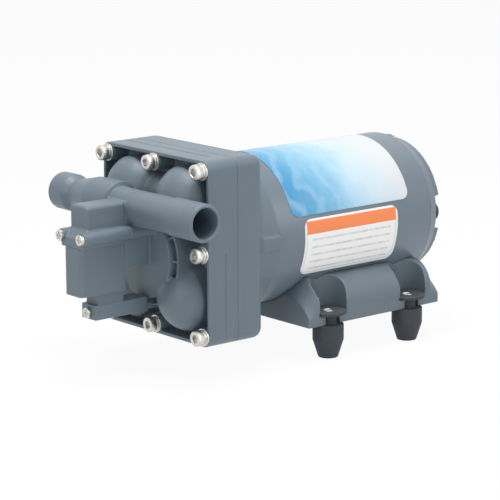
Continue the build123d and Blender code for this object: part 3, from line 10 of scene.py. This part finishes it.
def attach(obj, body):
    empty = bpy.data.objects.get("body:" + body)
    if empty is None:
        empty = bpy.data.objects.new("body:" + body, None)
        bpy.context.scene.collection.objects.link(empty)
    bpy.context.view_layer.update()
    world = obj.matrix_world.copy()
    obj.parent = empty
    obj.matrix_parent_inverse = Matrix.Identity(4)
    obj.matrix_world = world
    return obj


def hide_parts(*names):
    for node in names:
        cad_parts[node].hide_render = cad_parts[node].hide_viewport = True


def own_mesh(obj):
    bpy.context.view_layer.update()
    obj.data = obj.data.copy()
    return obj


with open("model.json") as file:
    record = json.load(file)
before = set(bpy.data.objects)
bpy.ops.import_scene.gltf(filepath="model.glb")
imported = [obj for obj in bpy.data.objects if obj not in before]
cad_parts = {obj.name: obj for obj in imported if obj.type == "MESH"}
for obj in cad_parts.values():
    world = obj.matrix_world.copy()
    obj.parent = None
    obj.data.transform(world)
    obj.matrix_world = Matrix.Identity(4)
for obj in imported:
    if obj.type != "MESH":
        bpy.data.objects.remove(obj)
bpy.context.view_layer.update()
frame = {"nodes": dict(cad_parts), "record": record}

MM = 0.001
AXIS_HEIGHT = 69 * MM
CAN_RADIUS = 42.5 * MM

# Camera at the photograph's place
CAMERA_PLACE = (0.9564, -0.8461, 0.3235)
CAMERA_BACK = (0.7511, -0.6258, 0.2103)
CAMERA_ROLL = radians(-0.26)
CAMERA_LENS = 164.3
SENSOR_WIDTH = 36.0


# Node helpers


def tone(red, green, blue):
    """Linear colour from the eight-bit one that the eye sees."""
    parts = [part / 255 for part in (red, green, blue)]
    linear = [
        part / 12.92 if part < 0.04045 else ((part + 0.055) / 1.055) ** 2.4 for part in parts
    ]
    return (*linear, 1.0)


def feed(tree, node, inputs):
    """Links or sets a node's inputs: i0, i1 and so on by number, the others by name."""
    for key, value in inputs.items():
        slot = node.inputs[int(key[1:]) if key[1:].isdigit() else key.replace("_", " ")]
        if isinstance(value, bpy.types.NodeSocket):
            tree.links.new(value, slot)
        else:
            slot.default_value = value


def place_node(tree, kind, settings=None, **inputs):
    """A new node with its settings and inputs."""
    node = tree.nodes.new("ShaderNode" + kind)
    for key, value in (settings or {}).items():
        setattr(node, key, value)
    feed(tree, node, inputs)
    return node


def calc(tree, operation, *values):
    """Result of a Math node."""
    inputs = {f"i{index}": value for index, value in enumerate(values)}
    return place_node(tree, "Math", {"operation": operation}, **inputs).outputs[0]


def blend_colours(tree, share, first, second):
    """Colour that goes from the first to the second as the share goes from 0 to 1."""
    mix = place_node(tree, "Mix", {"data_type": "RGBA"}, i0=share, i6=first, i7=second)
    return mix.outputs[2]


def spread(tree, value, low, high, to_low, to_high):
    """Value moved from one range to another, held at its ends."""
    mapped = place_node(tree, "MapRange", None, i0=value, i1=low, i2=high, i3=to_low, i4=to_high)
    return mapped.outputs[0]


def noise(tree, coordinates, scale, detail=2.0):
    """Height of a noise pattern, 0 to 1."""
    made = place_node(tree, "TexNoise", None, Vector=coordinates, Scale=scale, Detail=detail)
    return made.outputs[0]


def new_group(name, inputs, outputs):
    """Empty node group with named inputs and outputs, and its two end nodes."""
    tree = bpy.data.node_groups.new(name, "ShaderNodeTree")
    for label, kind, value in inputs:
        made = tree.interface.new_socket(label, in_out="INPUT", socket_type="NodeSocket" + kind)
        made.default_value = value
    for label, kind in outputs:
        tree.interface.new_socket(label, in_out="OUTPUT", socket_type="NodeSocket" + kind)
    return tree, tree.nodes.new("NodeGroupInput").outputs, tree.nodes.new("NodeGroupOutput").inputs


# Effects that many finishes share

WHITE = (1.0, 1.0, 1.0, 1.0)
# Pointiness at which an edge begins to look rubbed, and at which it is fully rubbed
RUB_START, RUB_FULL = 0.515, 0.6
CLOUD_ROUGHNESS = 0.16
GRAIN_ROUGHNESS = 0.06
TARNISH_SCALE = 420.0
STREAK_SWING = 0.24
DARKEST_STREAK = 0.88
STREAK_ROUGHNESS = 0.2
TARNISH_ROUGHNESS = 0.3
DUST_SCALE = 60.0


def make_moulded_skin():
    """Moulded or painted surface: fine grain, faint clouds and paler rubbed edges."""
    tree, given, result = new_group(
        "moulded_skin",
        [
            ("Color", "Color", WHITE),
            ("Worn Color", "Color", WHITE),
            ("Roughness", "Float", 0.5),
            ("Grain Scale", "Float", 1500.0),
            ("Cloud Scale", "Float", 30.0),
            ("Contrast", "Float", 0.1),
            ("Wear", "Float", 0.3),
        ],
        [("Color", "Color"), ("Roughness", "Float"), ("Height", "Float")],
    )
    place = place_node(tree, "TexCoord").outputs["Object"]
    grain = noise(tree, place, given["Grain Scale"], 3.0)
    clouds = noise(tree, place, given["Cloud Scale"], 4.0)
    cloudy = calc(tree, "SUBTRACT", clouds, 0.5)
    shade = calc(tree, "MULTIPLY_ADD", cloudy, given["Contrast"], 1.0)
    shaded = place_node(tree, "VectorMath", {"operation": "SCALE"}, i0=given["Color"], Scale=shade)
    edges = place_node(tree, "NewGeometry").outputs["Pointiness"]
    rubbed = spread(tree, edges, RUB_START, RUB_FULL, 0.0, 1.0)
    rubbed = calc(tree, "MULTIPLY", rubbed, given["Wear"])
    rubbed = calc(tree, "MULTIPLY", rubbed, spread(tree, clouds, 0.35, 0.65, 0.4, 1.0))
    colour = blend_colours(tree, rubbed, shaded.outputs[0], given["Worn Color"])
    uneven = calc(tree, "MULTIPLY_ADD", cloudy, CLOUD_ROUGHNESS, given["Roughness"])
    rough = calc(tree, "MULTIPLY_ADD", grain, GRAIN_ROUGHNESS, uneven)
    tree.links.new(colour, result["Color"])
    tree.links.new(rough, result["Roughness"])
    tree.links.new(grain, result["Height"])
    return tree


def make_drawn_metal():
    """Machined or drawn metal: streaks along one way and small spots of tarnish."""
    tree, given, result = new_group(
        "drawn_metal",
        [
            ("Color", "Color", WHITE),
            ("Tarnish Color", "Color", WHITE),
            ("Roughness", "Float", 0.3),
            ("Streaks", "Vector", (1.0, 1.0, 1.0)),
            ("Tarnish", "Float", 0.3),
        ],
        [("Color", "Color"), ("Roughness", "Float"), ("Height", "Float")],
    )
    place = place_node(tree, "TexCoord").outputs["Object"]
    drawn = place_node(
        tree, "VectorMath", {"operation": "MULTIPLY"}, i0=place, i1=given["Streaks"]
    )
    streaks = noise(tree, drawn.outputs[0], 1.0, 3.0)
    spots = noise(tree, place, TARNISH_SCALE, 5.0)
    tarnish = calc(tree, "MULTIPLY", spread(tree, spots, 0.5, 0.72, 0.0, 1.0), given["Tarnish"])
    bright = calc(tree, "MULTIPLY_ADD", streaks, STREAK_SWING, DARKEST_STREAK)
    lit = place_node(tree, "VectorMath", {"operation": "SCALE"}, i0=given["Color"], Scale=bright)
    colour = blend_colours(tree, tarnish, lit.outputs[0], given["Tarnish Color"])
    rough = calc(tree, "MULTIPLY_ADD", streaks, STREAK_ROUGHNESS, given["Roughness"])
    rough = calc(tree, "MULTIPLY_ADD", tarnish, TARNISH_ROUGHNESS, rough)
    tree.links.new(colour, result["Color"])
    tree.links.new(rough, result["Roughness"])
    tree.links.new(streaks, result["Height"])
    return tree


def make_settled_dust():
    """Thin dust on what faces upwards, thicker in patches."""
    tree, given, result = new_group(
        "settled_dust",
        [("Color", "Color", WHITE), ("Dust Color", "Color", WHITE), ("Amount", "Float", 0.1)],
        [("Color", "Color")],
    )
    place = place_node(tree, "TexCoord").outputs["Object"]
    facing = place_node(tree, "NewGeometry").outputs["Normal"]
    upwards = place_node(tree, "SeparateXYZ", None, Vector=facing).outputs["Z"]
    patches = spread(tree, noise(tree, place, DUST_SCALE, 6.0), 0.3, 0.75, 0.25, 1.0)
    mask = calc(tree, "MULTIPLY", spread(tree, upwards, 0.3, 1.0, 0.0, 1.0), patches)
    mask = calc(tree, "MULTIPLY", mask, given["Amount"])
    tree.links.new(blend_colours(tree, mask, given["Color"], given["Dust Color"]), result["Color"])
    return tree


EFFECTS = {
    "moulded_skin": make_moulded_skin(),
    "drawn_metal": make_drawn_metal(),
    "settled_dust": make_settled_dust(),
}


def effect(tree, name, **inputs):
    """One of the shared effects, placed in a material with its own values."""
    group = tree.nodes.new("ShaderNodeGroup")
    group.node_tree = EFFECTS[name]
    feed(tree, group, inputs)
    return group.outputs


def new_material(name):
    """Material with a Principled shader on its output, and its tree and shader."""
    material = bpy.data.materials.new(name)
    material.use_nodes = True
    tree = material.node_tree
    return material, tree, tree.nodes["Principled BSDF"]


def bump(tree, shader, height, depth, strength=1.0):
    """Relief of a depth in metres under the shader."""
    made = place_node(tree, "Bump", None, Height=height, Distance=depth, Strength=strength)
    tree.links.new(made.outputs[0], shader.inputs["Normal"])


# Finishes

DUST = tone(188, 190, 190)
DUST_AMOUNT = 0.08
EDGE_WEAR = 0.35
METAL_RELIEF = 0.00002
FILM_RELIEF = 0.00003
FILM_PEEL_SCALE = 350.0
FILM_COAT = 0.05


def plastic(name, colour, worn, rough, grain_scale, depth, contrast=0.12, coat=0.0):
    """Moulded plastic, rubber or satin paint."""
    material, tree, shader = new_material(name)
    skin = effect(
        tree, "moulded_skin", Color=colour, Worn_Color=worn, Roughness=rough,
        Grain_Scale=grain_scale, Contrast=contrast, Wear=EDGE_WEAR,
    )
    dusty = effect(
        tree, "settled_dust", Color=skin["Color"], Dust_Color=DUST, Amount=DUST_AMOUNT
    )
    tree.links.new(dusty["Color"], shader.inputs["Base Color"])
    tree.links.new(skin["Roughness"], shader.inputs["Roughness"])
    shader.inputs["Coat Weight"].default_value = coat
    shader.inputs["Coat Roughness"].default_value = 0.25
    bump(tree, shader, skin["Height"], depth)
    return material


def metal(name, colour, tarnish_colour, rough, streaks, tarnish):
    """Bare metal with drawing marks."""
    material, tree, shader = new_material(name)
    skin = effect(
        tree, "drawn_metal", Color=colour, Tarnish_Color=tarnish_colour, Roughness=rough,
        Streaks=streaks, Tarnish=tarnish,
    )
    tree.links.new(skin["Color"], shader.inputs["Base Color"])
    tree.links.new(skin["Roughness"], shader.inputs["Roughness"])
    shader.inputs["Metallic"].default_value = 1.0
    bump(tree, shader, skin["Height"], METAL_RELIEF, 0.5)
    return material


def label_coordinates(tree):
    """Place along the pump axis and arc length round the can, in millimetres."""
    place = place_node(tree, "TexCoord").outputs["Object"]
    centred = place_node(tree, "Mapping", {"vector_type": "POINT"}, Vector=place)
    centred.inputs["Location"].default_value = (0.0, 0.0, -AXIS_HEIGHT)
    parts = place_node(tree, "SeparateXYZ", None, Vector=centred.outputs[0]).outputs
    angle = calc(tree, "ARCTAN2", parts["Z"], parts["X"])
    along = calc(tree, "DIVIDE", parts["Y"], MM)
    return place, along, calc(tree, "MULTIPLY", angle, CAN_RADIUS / MM)


def printed_film(tree, shader, colour, place):
    """Gloss film with a faint orange-peel surface."""
    skin = effect(
        tree, "moulded_skin", Color=colour, Worn_Color=WHITE, Roughness=0.3,
        Grain_Scale=900.0, Cloud_Scale=60.0, Contrast=0.05, Wear=0.0,
    )
    tree.links.new(skin["Color"], shader.inputs["Base Color"])
    tree.links.new(skin["Roughness"], shader.inputs["Roughness"])
    shader.inputs["Coat Weight"].default_value = FILM_COAT
    shader.inputs["Coat Roughness"].default_value = 0.2
    bump(tree, shader, noise(tree, place, FILM_PEEL_SCALE), FILM_RELIEF)


# Product label in millimetres: its ends along the pump axis, the arc length at the top of the
# can, and how far down from there the film keeps growing bluer
PRODUCT_FRONT, PRODUCT_BACK = -53.5, 33.5
PRODUCT_CREST = 66.8
PRODUCT_DROP = 55.0
CREST_PALING = 0.16
SWIRL_SCALE = 38.0
SWIRL_REACH = 0.5
# Place on the way from the head to the tail, and the colour there; the ends have their own line
WATER_FRONT, WATER_BACK = (0.05, tone(72, 148, 194)), (0.92, tone(212, 216, 219))
WATER_BETWEEN = (
    (0.3, tone(110, 172, 206)),
    (0.52, tone(164, 202, 224)),
    (0.7, tone(196, 216, 228)),
)
GLINT = tone(226, 242, 250)


def make_product_film():
    """Film that runs from mottled water blue at the head to off-white at the tail."""
    material, tree, shader = new_material("product_film")
    place, along, arc = label_coordinates(tree)
    share = spread(tree, along, PRODUCT_FRONT, PRODUCT_BACK, 0.0, 1.0)
    from_crest = calc(tree, "ABSOLUTE", calc(tree, "SUBTRACT", arc, PRODUCT_CREST))
    height = spread(tree, from_crest, 0.0, PRODUCT_DROP, 1.0, 0.0)
    share = calc(tree, "MULTIPLY_ADD", height, CREST_PALING, share)
    swirl = calc(tree, "SUBTRACT", noise(tree, place, SWIRL_SCALE, 5.0), 0.5)
    share = calc(tree, "MULTIPLY_ADD", swirl, SWIRL_REACH, share)
    ramp = place_node(tree, "ValToRGB", None, Fac=share)
    stops = ramp.color_ramp.elements
    stops[0].position, stops[0].color = WATER_FRONT
    stops[1].position, stops[1].color = WATER_BACK
    for position, colour in WATER_BETWEEN:
        stops.new(position).color = colour
    ripples = place_node(
        tree, "TexWave", {"bands_direction": "Y"},
        Vector=place, Scale=22.0, Distortion=14.0, Detail=4.0,
    )
    fade = spread(tree, share, 0.05, 0.7, 0.2, 0.0)
    glints = calc(tree, "MULTIPLY", spread(tree, ripples.outputs[1], 0.45, 1.0, 0.0, 1.0), fade)
    printed_film(tree, shader, blend_colours(tree, glints, ramp.outputs[0], GLINT), place)
    return material


# Notice label in millimetres: its ends along the pump axis, and round the can as arc lengths
NOTICE_FRONT, NOTICE_BACK = -45.5, 23.5
NOTICE_LOW, NOTICE_HIGH = radians(-31) * CAN_RADIUS / MM, radians(13) * CAN_RADIUS / MM
NOTICE_BORDER = 1.3
NOTICE_OUTLINE = 0.35
NOTICE_BAND = 7.2
RULE_PITCH = 4.3
RULE_START = 1.2
RULE_SIDES, RULE_FOOT, RULE_TOP = 4.0, 1.8, 1.4
# Share of the pitch at which a rule begins and ends
RULE_BEGINS, RULE_ENDS = 0.36, 0.60
NOTICE_WHITE = tone(241, 241, 240)
NOTICE_ORANGE = tone(243, 138, 82)
RULE_GREY = tone(150, 152, 156)
OUTLINE_GREY = tone(130, 132, 136)


def within(tree, value, low, high, soft=0.08):
    """Mask that is 1 between two values, with a soft edge."""
    above = spread(tree, value, low - soft, low + soft, 0.0, 1.0)
    below = spread(tree, value, high - soft, high + soft, 1.0, 0.0)
    return calc(tree, "MULTIPLY", above, below)


def make_notice_film():
    """White film with a plain orange band along its top and faint ruled lines."""
    material, tree, shader = new_material("notice_film")
    place, along, arc = label_coordinates(tree)
    front, back = NOTICE_FRONT + NOTICE_BORDER, NOTICE_BACK - NOTICE_BORDER
    low, high = NOTICE_LOW + NOTICE_BORDER, NOTICE_HIGH - NOTICE_BORDER
    inside = calc(tree, "MULTIPLY", within(tree, along, front, back), within(tree, arc, low, high))
    band = calc(tree, "MULTIPLY", inside, within(tree, arc, high - NOTICE_BAND, high + 1.0))
    inner = calc(
        tree, "MULTIPLY", within(tree, along, front + NOTICE_OUTLINE, back - NOTICE_OUTLINE),
        within(tree, arc, low + NOTICE_OUTLINE, high),
    )
    outline = calc(tree, "MULTIPLY", calc(tree, "SUBTRACT", inside, inner), 0.5)
    below_band = calc(tree, "SUBTRACT", high - NOTICE_BAND - RULE_START, arc)
    steps = calc(tree, "DIVIDE", below_band, RULE_PITCH)
    stripe = within(tree, calc(tree, "FRACT", steps), RULE_BEGINS, RULE_ENDS, 0.05)
    field = calc(
        tree, "MULTIPLY", within(tree, along, front + RULE_SIDES, back - RULE_SIDES, 0.3),
        within(tree, arc, low + RULE_FOOT, high - NOTICE_BAND - RULE_TOP, 0.1),
    )
    broken = spread(tree, noise(tree, place, 300.0, 3.0), 0.4, 0.6, 0.25, 0.5)
    rules = calc(tree, "MULTIPLY", calc(tree, "MULTIPLY", stripe, field), broken)
    colour = blend_colours(tree, rules, NOTICE_WHITE, RULE_GREY)
    colour = blend_colours(tree, outline, colour, OUTLINE_GREY)
    printed_film(tree, shader, blend_colours(tree, band, colour, NOTICE_ORANGE), place)
    return material


SLATE = tone(101, 116, 127)
SLATE_WORN = tone(150, 162, 171)
STEEL = tone(214, 212, 207)
STEEL_DARK = tone(140, 132, 122)

# Streaks of a metal: how finely its marks lie along X, Y and Z
ALONG_Y = (900.0, 60.0, 900.0)
ACROSS_Y = (40.0, 2400.0, 40.0)
ROUND_Z = (500.0, 500.0, 40.0)
EVEN = (700.0, 700.0, 700.0)

# Plastic, rubber and paint: colour, worn colour, roughness, grain scale and its relief, and
# where they differ from the usual ones, contrast and coat
PLASTICS = {
    "housing_plastic": (SLATE, SLATE_WORN, 0.40, 1600.0, 0.00004),
    "bracket_plastic": (tone(99, 113, 123), SLATE_WORN, 0.44, 1400.0, 0.00005),
    "can_paint": (tone(99, 114, 126), SLATE_WORN, 0.36, 1100.0, 0.00003, 0.12, 0.15),
    "foot_rubber": (tone(48, 54, 61), tone(80, 86, 92), 0.62, 1200.0, 0.00008, 0.2),
    "seal_rubber": (tone(34, 34, 35), tone(60, 60, 61), 0.6, 1300.0, 0.00006, 0.2),
    "inner_plastic": (tone(46, 48, 50), tone(80, 82, 84), 0.42, 1500.0, 0.00005),
    "magnet": (tone(58, 58, 60), tone(90, 90, 92), 0.7, 900.0, 0.00012, 0.3),
    "carbon": (tone(36, 36, 38), tone(70, 70, 72), 0.5, 1800.0, 0.00005),
}

# Bare metal: colour, tarnished colour, roughness, streaks and tarnish
METALS = {
    "stainless": (STEEL, STEEL_DARK, 0.2, EVEN, 0.25),
    "bearing_steel": (tone(206, 206, 207), STEEL_DARK, 0.14, ALONG_Y, 0.1),
    "spring_steel": (tone(196, 196, 198), STEEL_DARK, 0.22, ALONG_Y, 0.2),
    "core_steel": (tone(160, 160, 162), tone(110, 96, 82), 0.35, ACROSS_Y, 0.4),
    "copper": (tone(206, 128, 92), tone(128, 74, 52), 0.28, ALONG_Y, 0.4),
    "brass": (tone(214, 180, 104), tone(140, 106, 58), 0.26, ROUND_Z, 0.4),
}

FINISHES = {
    **{name: plastic(name, *values) for name, values in PLASTICS.items()},
    **{name: metal(name, *values) for name, values in METALS.items()},
    "product_label": make_product_film(),
    "notice_label": make_notice_film(),
}
NODE_SLOTS = {row["node"]: row["material_slot"] for row in frame["record"]["subparts"]}


def dressed(piece, slot, body, *nodes):
    """Gives a new piece its finish, its body and the CAD nodes that it stands for."""
    piece.data.materials.clear()
    piece.data.materials.append(FINISHES[slot])
    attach(piece, body)
    if nodes:
        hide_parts(*nodes)
    return piece


# Shapes

WELD = 2e-6
SHARP_EDGE = radians(30)


def new_piece(name, bm, smooth_angle=radians(35)):
    """Object made from a bmesh, smooth but for its sharp edges."""
    mesh = bpy.data.meshes.new(name)
    bm.to_mesh(mesh)
    bm.free()
    mesh.shade_smooth()
    mesh.set_sharp_from_angle(angle=smooth_angle)
    piece = bpy.data.objects.new(name, mesh)
    bpy.context.scene.collection.objects.link(piece)
    return piece


def merged_copy(node):
    """Bmesh of a CAD node with its loose triangles joined up."""
    bm = bmesh.new()
    bm.from_mesh(frame["nodes"][node].data)
    bmesh.ops.remove_doubles(bm, verts=bm.verts, dist=WELD)
    return bm


def settle(piece):
    """Makes the piece's modifiers part of its mesh."""
    graph = bpy.context.evaluated_depsgraph_get()
    mesh = bpy.data.meshes.new_from_object(piece.evaluated_get(graph))
    piece.modifiers.clear()
    old = piece.data
    piece.data = mesh
    bpy.data.meshes.remove(old)
    mesh.name = piece.name


def moulded(name, node, voxel, passes, share):
    """The CAD form with its edges and corners run soft, as a mould leaves them."""
    piece = new_piece(name, merged_copy(node))
    remesh = piece.modifiers.new("skin", "REMESH")
    remesh.mode = "VOXEL"
    remesh.voxel_size = voxel
    remesh.use_smooth_shade = True
    soften = piece.modifiers.new("soften", "SMOOTH")
    soften.factor = 0.5
    soften.iterations = passes
    thin = piece.modifiers.new("thin", "DECIMATE")
    thin.ratio = share
    settle(piece)
    piece.data.shade_smooth()
    return dressed(piece, NODE_SLOTS[node], "root", node)


def broken_edges(name, node, width):
    """The CAD form with its sharp edges broken by a small round."""
    bm = merged_copy(node)
    bmesh.ops.dissolve_limit(bm, angle_limit=radians(1), verts=bm.verts, edges=bm.edges)
    folded = [edge for edge in bm.edges if edge.is_manifold]
    edges = [edge for edge in folded if edge.calc_face_angle() > SHARP_EDGE]
    bmesh.ops.bevel(
        bm, geom=edges, offset=width, offset_type="OFFSET", affect="EDGES", segments=2,
        profile=0.5, material=-1, clamp_overlap=True,
    )
    return dressed(new_piece(name, bm), NODE_SLOTS[node], "root", node)


def grow(bm, edges, rise, radius, old_radius):
    """Extrudes a loop about the local Z axis, raises it and gives it a new radius."""
    made = bmesh.ops.extrude_edge_only(bm, edges=edges)["geom"]
    verts = [item for item in made if isinstance(item, bmesh.types.BMVert)]
    edges = [item for item in made if isinstance(item, bmesh.types.BMEdge)]
    widen = radius / old_radius
    bmesh.ops.scale(bm, vec=(widen, widen, 1), verts=verts)
    bmesh.ops.translate(bm, vec=(0, 0, rise), verts=verts)
    return verts, edges


# Sides of a turned form: every second one of the head is a valley of its knurling
TURNED_SIDES = 72
KNURL_VALLEY = 0.955


def lathe(bm, profile):
    """Turned form about the local Z axis, from its profile of (radius, height) pairs."""
    radius, height = profile[0]
    made = bmesh.ops.create_circle(bm, cap_ends=False, radius=radius, segments=TURNED_SIDES)
    verts = made["verts"]
    bmesh.ops.translate(bm, vec=(0, 0, height), verts=verts)
    edges = list({edge for vert in verts for edge in vert.link_edges})
    loops = [(verts, edges)]
    for next_radius, next_height in profile[1:]:
        loops.append(grow(bm, loops[-1][1], next_height - height, next_radius, radius))
        radius, height = next_radius, next_height
    return loops


def hex_shaped(verts, half_width):
    """Moves a round loop out to a hexagon of that half width."""
    for vert in verts:
        angle = atan2(vert.co.y, vert.co.x)
        reach = half_width / cos((angle % (pi / 3)) - pi / 6)
        flat = vert.co.xy.normalized() * reach
        vert.co.x, vert.co.y = flat


def hex_socket_bolt():
    """Socket cap screw about local Z: knurled head with a hex socket, its seat at height 0."""
    head, top, shank, length = 4.2 * MM, 4.1 * MM, 2.5 * MM, 35.0 * MM
    socket, socket_depth = 2.0 * MM, 2.6 * MM
    mouth, mouth_depth, mouth_round = 2.2 * MM, 0.25 * MM, 2.25 * MM
    crown, foot, foot_height = 0.7 * MM, 0.3 * MM, 0.5 * MM
    shoulder, shoulder_drop = 0.25 * MM, 0.18 * MM
    point, point_length = 0.7 * MM, 0.8 * MM
    bm = bmesh.new()
    loops = lathe(
        bm,
        [
            (socket, top - socket_depth),
            (socket, top - mouth_depth),
            (mouth_round, top),
            (head - crown, top),
            (head - shoulder, top - shoulder_drop),
            (head, top - crown),
            (head, foot_height),
            (head - foot, 0.0),
            (shank, 0.0),
            (shank, point_length - length),
            (shank - point, -length),
        ],
    )
    socket_floor, socket_rim, socket_mouth = loops[:3]
    knurled = loops[5:7]
    hex_shaped(socket_floor[0], socket)
    hex_shaped(socket_rim[0], socket)
    hex_shaped(socket_mouth[0], mouth)
    for verts, _edges in knurled:
        for vert in verts:
            turn = round(degrees(atan2(vert.co.y, vert.co.x)) / 360 * TURNED_SIDES)
            if turn % 2:
                vert.co.x, vert.co.y = vert.co.xy * KNURL_VALLEY
    for _verts, edges in (socket_floor, loops[-1]):
        bmesh.ops.holes_fill(bm, edges=edges, sides=0)
    bmesh.ops.recalc_face_normals(bm, faces=bm.faces)
    return bm


def placed_copies(bm, places):
    """Joins turned and moved copies of a bmesh into one."""
    mesh = bpy.data.meshes.new("pattern")
    bm.to_mesh(mesh)
    bm.free()
    joined = bmesh.new()
    for place in places:
        before = len(joined.verts)
        joined.from_mesh(mesh)
        joined.verts.ensure_lookup_table()
        bmesh.ops.transform(joined, matrix=place, verts=joined.verts[before:])
    bpy.data.meshes.remove(mesh)
    return joined


def facing_front(x, y, z, turn):
    """Place whose local Z looks to the front of the pump."""
    tipped = Matrix.Rotation(radians(90), 4, "X")
    return Matrix.Translation((x, y, z)) @ tipped @ Matrix.Rotation(turn, 4, "Z")


# Moulded shells: name, CAD node, voxel, smoothing passes, share of the faces kept
for shell in (
    ("cover_shell", "head_cover", 0.33 * MM, 3, 0.11),
    ("drive_shell", "drive_housing", 0.55 * MM, 4, 0.4),
    ("switch_cap_shell", "switch_cap", 0.3 * MM, 5, 0.4),
    ("switch_base_shell", "switch_base", 0.3 * MM, 4, 0.4),
    ("bracket_shell", "mounting_bracket", 0.55 * MM, 4, 0.5),
    ("end_cap_shell", "motor_end_cap", 0.55 * MM, 3, 0.4),
    ("rubber_foot_set", "rubber_feet", 0.4 * MM, 4, 0.5),
    ("switch_screw_set", "switch_screws", 0.16 * MM, 3, 0.5),
    ("grommet_body", "lead_grommet", 0.25 * MM, 4, 0.6),
):
    moulded(*shell)

# Metal forms with broken edges: name, CAD node, width of the round
for form in (
    ("can_shell", "motor_can", 0.4 * MM),
    ("washer_set", "head_washers", 0.15 * MM),
    ("spring_washer_set", "head_spring_washers", 0.12 * MM),
    ("tie_bolt_set", "tie_bolts", 0.25 * MM),
    ("bracket_screw_set", "bracket_screws", 0.2 * MM),
    ("foot_sleeve_set", "foot_sleeves", 0.2 * MM),
):
    broken_edges(*form)

# Head bolts, in millimetres from the pump axis, each left at its own turn
BOLT_SEAT_Y = -117.7 * MM
BOLT_X, BOLT_Z = 41, 44.5
BOLT_TURN = 17
bolt_places = [(x, z) for x in (-BOLT_X, 0, BOLT_X) for z in (-BOLT_Z, BOLT_Z)]
bolt_places += [(-BOLT_X, 0), (BOLT_X, 0)]
bolts = placed_copies(
    hex_socket_bolt(),
    [
        facing_front(x * MM, BOLT_SEAT_Y, AXIS_HEIGHT + z * MM, radians(BOLT_TURN * index))
        for index, (x, z) in enumerate(bolt_places)
    ],
)
dressed(new_piece("socket_bolt_set", bolts, radians(28)), "stainless", "root", "head_bolts")

# Springs: name, CAD node, joint, axis, corner, travel
BRUSH_TRAVEL = 4.0 * MM
PLUNGER_TRAVEL = 1.0 * MM
for name, node, joint, axis, fixed_end, travel in (
    ("brush_coil_left", "brush_spring_left", "left_brush_slide", 0, 0, BRUSH_TRAVEL),
    ("brush_coil_right", "brush_spring_right", "right_brush_slide", 0, 1, BRUSH_TRAVEL),
    ("switch_coil", "switch_spring", "switch_press", 2, 0, PLUNGER_TRAVEL),
):
    coil = dressed(new_piece(name, merged_copy(node)), NODE_SLOTS[node], "root", node)
    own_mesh(coil)

# CAD nodes that stay in view get their finishes
shown_nodes = [node for node in frame["nodes"].values() if not node.hide_render]
for node in shown_nodes:
    node.data.materials.clear()
    node.data.materials.append(FINISHES[NODE_SLOTS[node.name]])

# Floor and light; the camera and glossy rays see them as plain white, or near it
FLOOR_SIZE = 6.0
FLOOR_GREY = (0.86, 0.86, 0.86, 1.0)
FLOOR_GLOW = 0.94
WORLD_LIGHT = 0.28

bm = bmesh.new()
bmesh.ops.create_grid(bm, x_segments=2, y_segments=2, size=FLOOR_SIZE)
floor = new_piece("studio_floor", bm)
paper, tree, shader = new_material("studio_paper")
shader.inputs["Base Color"].default_value = FLOOR_GREY
shader.inputs["Roughness"].default_value = 0.9
shader.inputs["Specular IOR Level"].default_value = 0.1
rays = place_node(tree, "LightPath").outputs
seen = calc(tree, "MINIMUM", calc(tree, "ADD", rays["Is Camera Ray"], rays["Is Glossy Ray"]), 1.0)
glow = place_node(tree, "Emission", None, Color=WHITE, Strength=1.0)
white_share = calc(tree, "MULTIPLY", seen, FLOOR_GLOW)
mix = place_node(
    tree, "MixShader", None, i0=white_share, i1=shader.outputs[0], i2=glow.outputs[0]
)
tree.links.new(mix.outputs[0], tree.nodes["Material Output"].inputs["Surface"])
floor.data.materials.append(paper)

world = bpy.data.worlds.new("studio_world")
bpy.context.scene.world = world
world.use_nodes = True
tree = world.node_tree
background = tree.nodes["Background"]
background.inputs["Color"].default_value = WHITE
rays = place_node(tree, "LightPath").outputs
seen = calc(tree, "ADD", rays["Is Camera Ray"], rays["Is Transmission Ray"])
seen = calc(tree, "ADD", seen, rays["Is Glossy Ray"])
seen = calc(tree, "MINIMUM", seen, 1.0)
strength = spread(tree, seen, 0.0, 1.0, WORLD_LIGHT, 1.0)
tree.links.new(strength, background.inputs["Strength"])

MIDDLE = (0.0, -0.04, 0.07)

# Square area lamps that look at the middle of the pump: name, place, size, power
for name, place, size, power in (
    ("top_box", (0.1, -0.2, 1.3), 0.7, 15.0),
    ("right_box", (1.3, 0.3, 0.7), 0.8, 5.5),
    ("front_box", (0.3, -1.4, 0.6), 0.9, 3.4),
):
    lamp = bpy.data.lights.new(name, "AREA")
    lamp.size = size
    lamp.energy = power
    holder = bpy.data.objects.new(name, lamp)
    holder.location = place
    aim = Vector(MIDDLE) - Vector(place)
    holder.rotation_euler = aim.to_track_quat("-Z", "Y").to_euler()
    bpy.context.scene.collection.objects.link(holder)

# Camera
lens = bpy.data.cameras.new("photo_camera")
lens.lens = CAMERA_LENS
lens.sensor_width = SENSOR_WIDTH
lens.clip_start = 0.01
camera = bpy.data.objects.new("photo_camera", lens)
bpy.context.scene.collection.objects.link(camera)
back = Vector(CAMERA_BACK).normalized()
side = Vector((0, 0, 1)).cross(back).normalized()
turned = Matrix((side, back.cross(side), back)).transposed()
turned = turned @ Matrix.Rotation(CAMERA_ROLL, 3, "Z")
camera.matrix_world = Matrix.Translation(CAMERA_PLACE) @ turned.to_4x4()
bpy.context.scene.camera = camera
bpy.context.scene.view_settings.view_transform = "Standard"
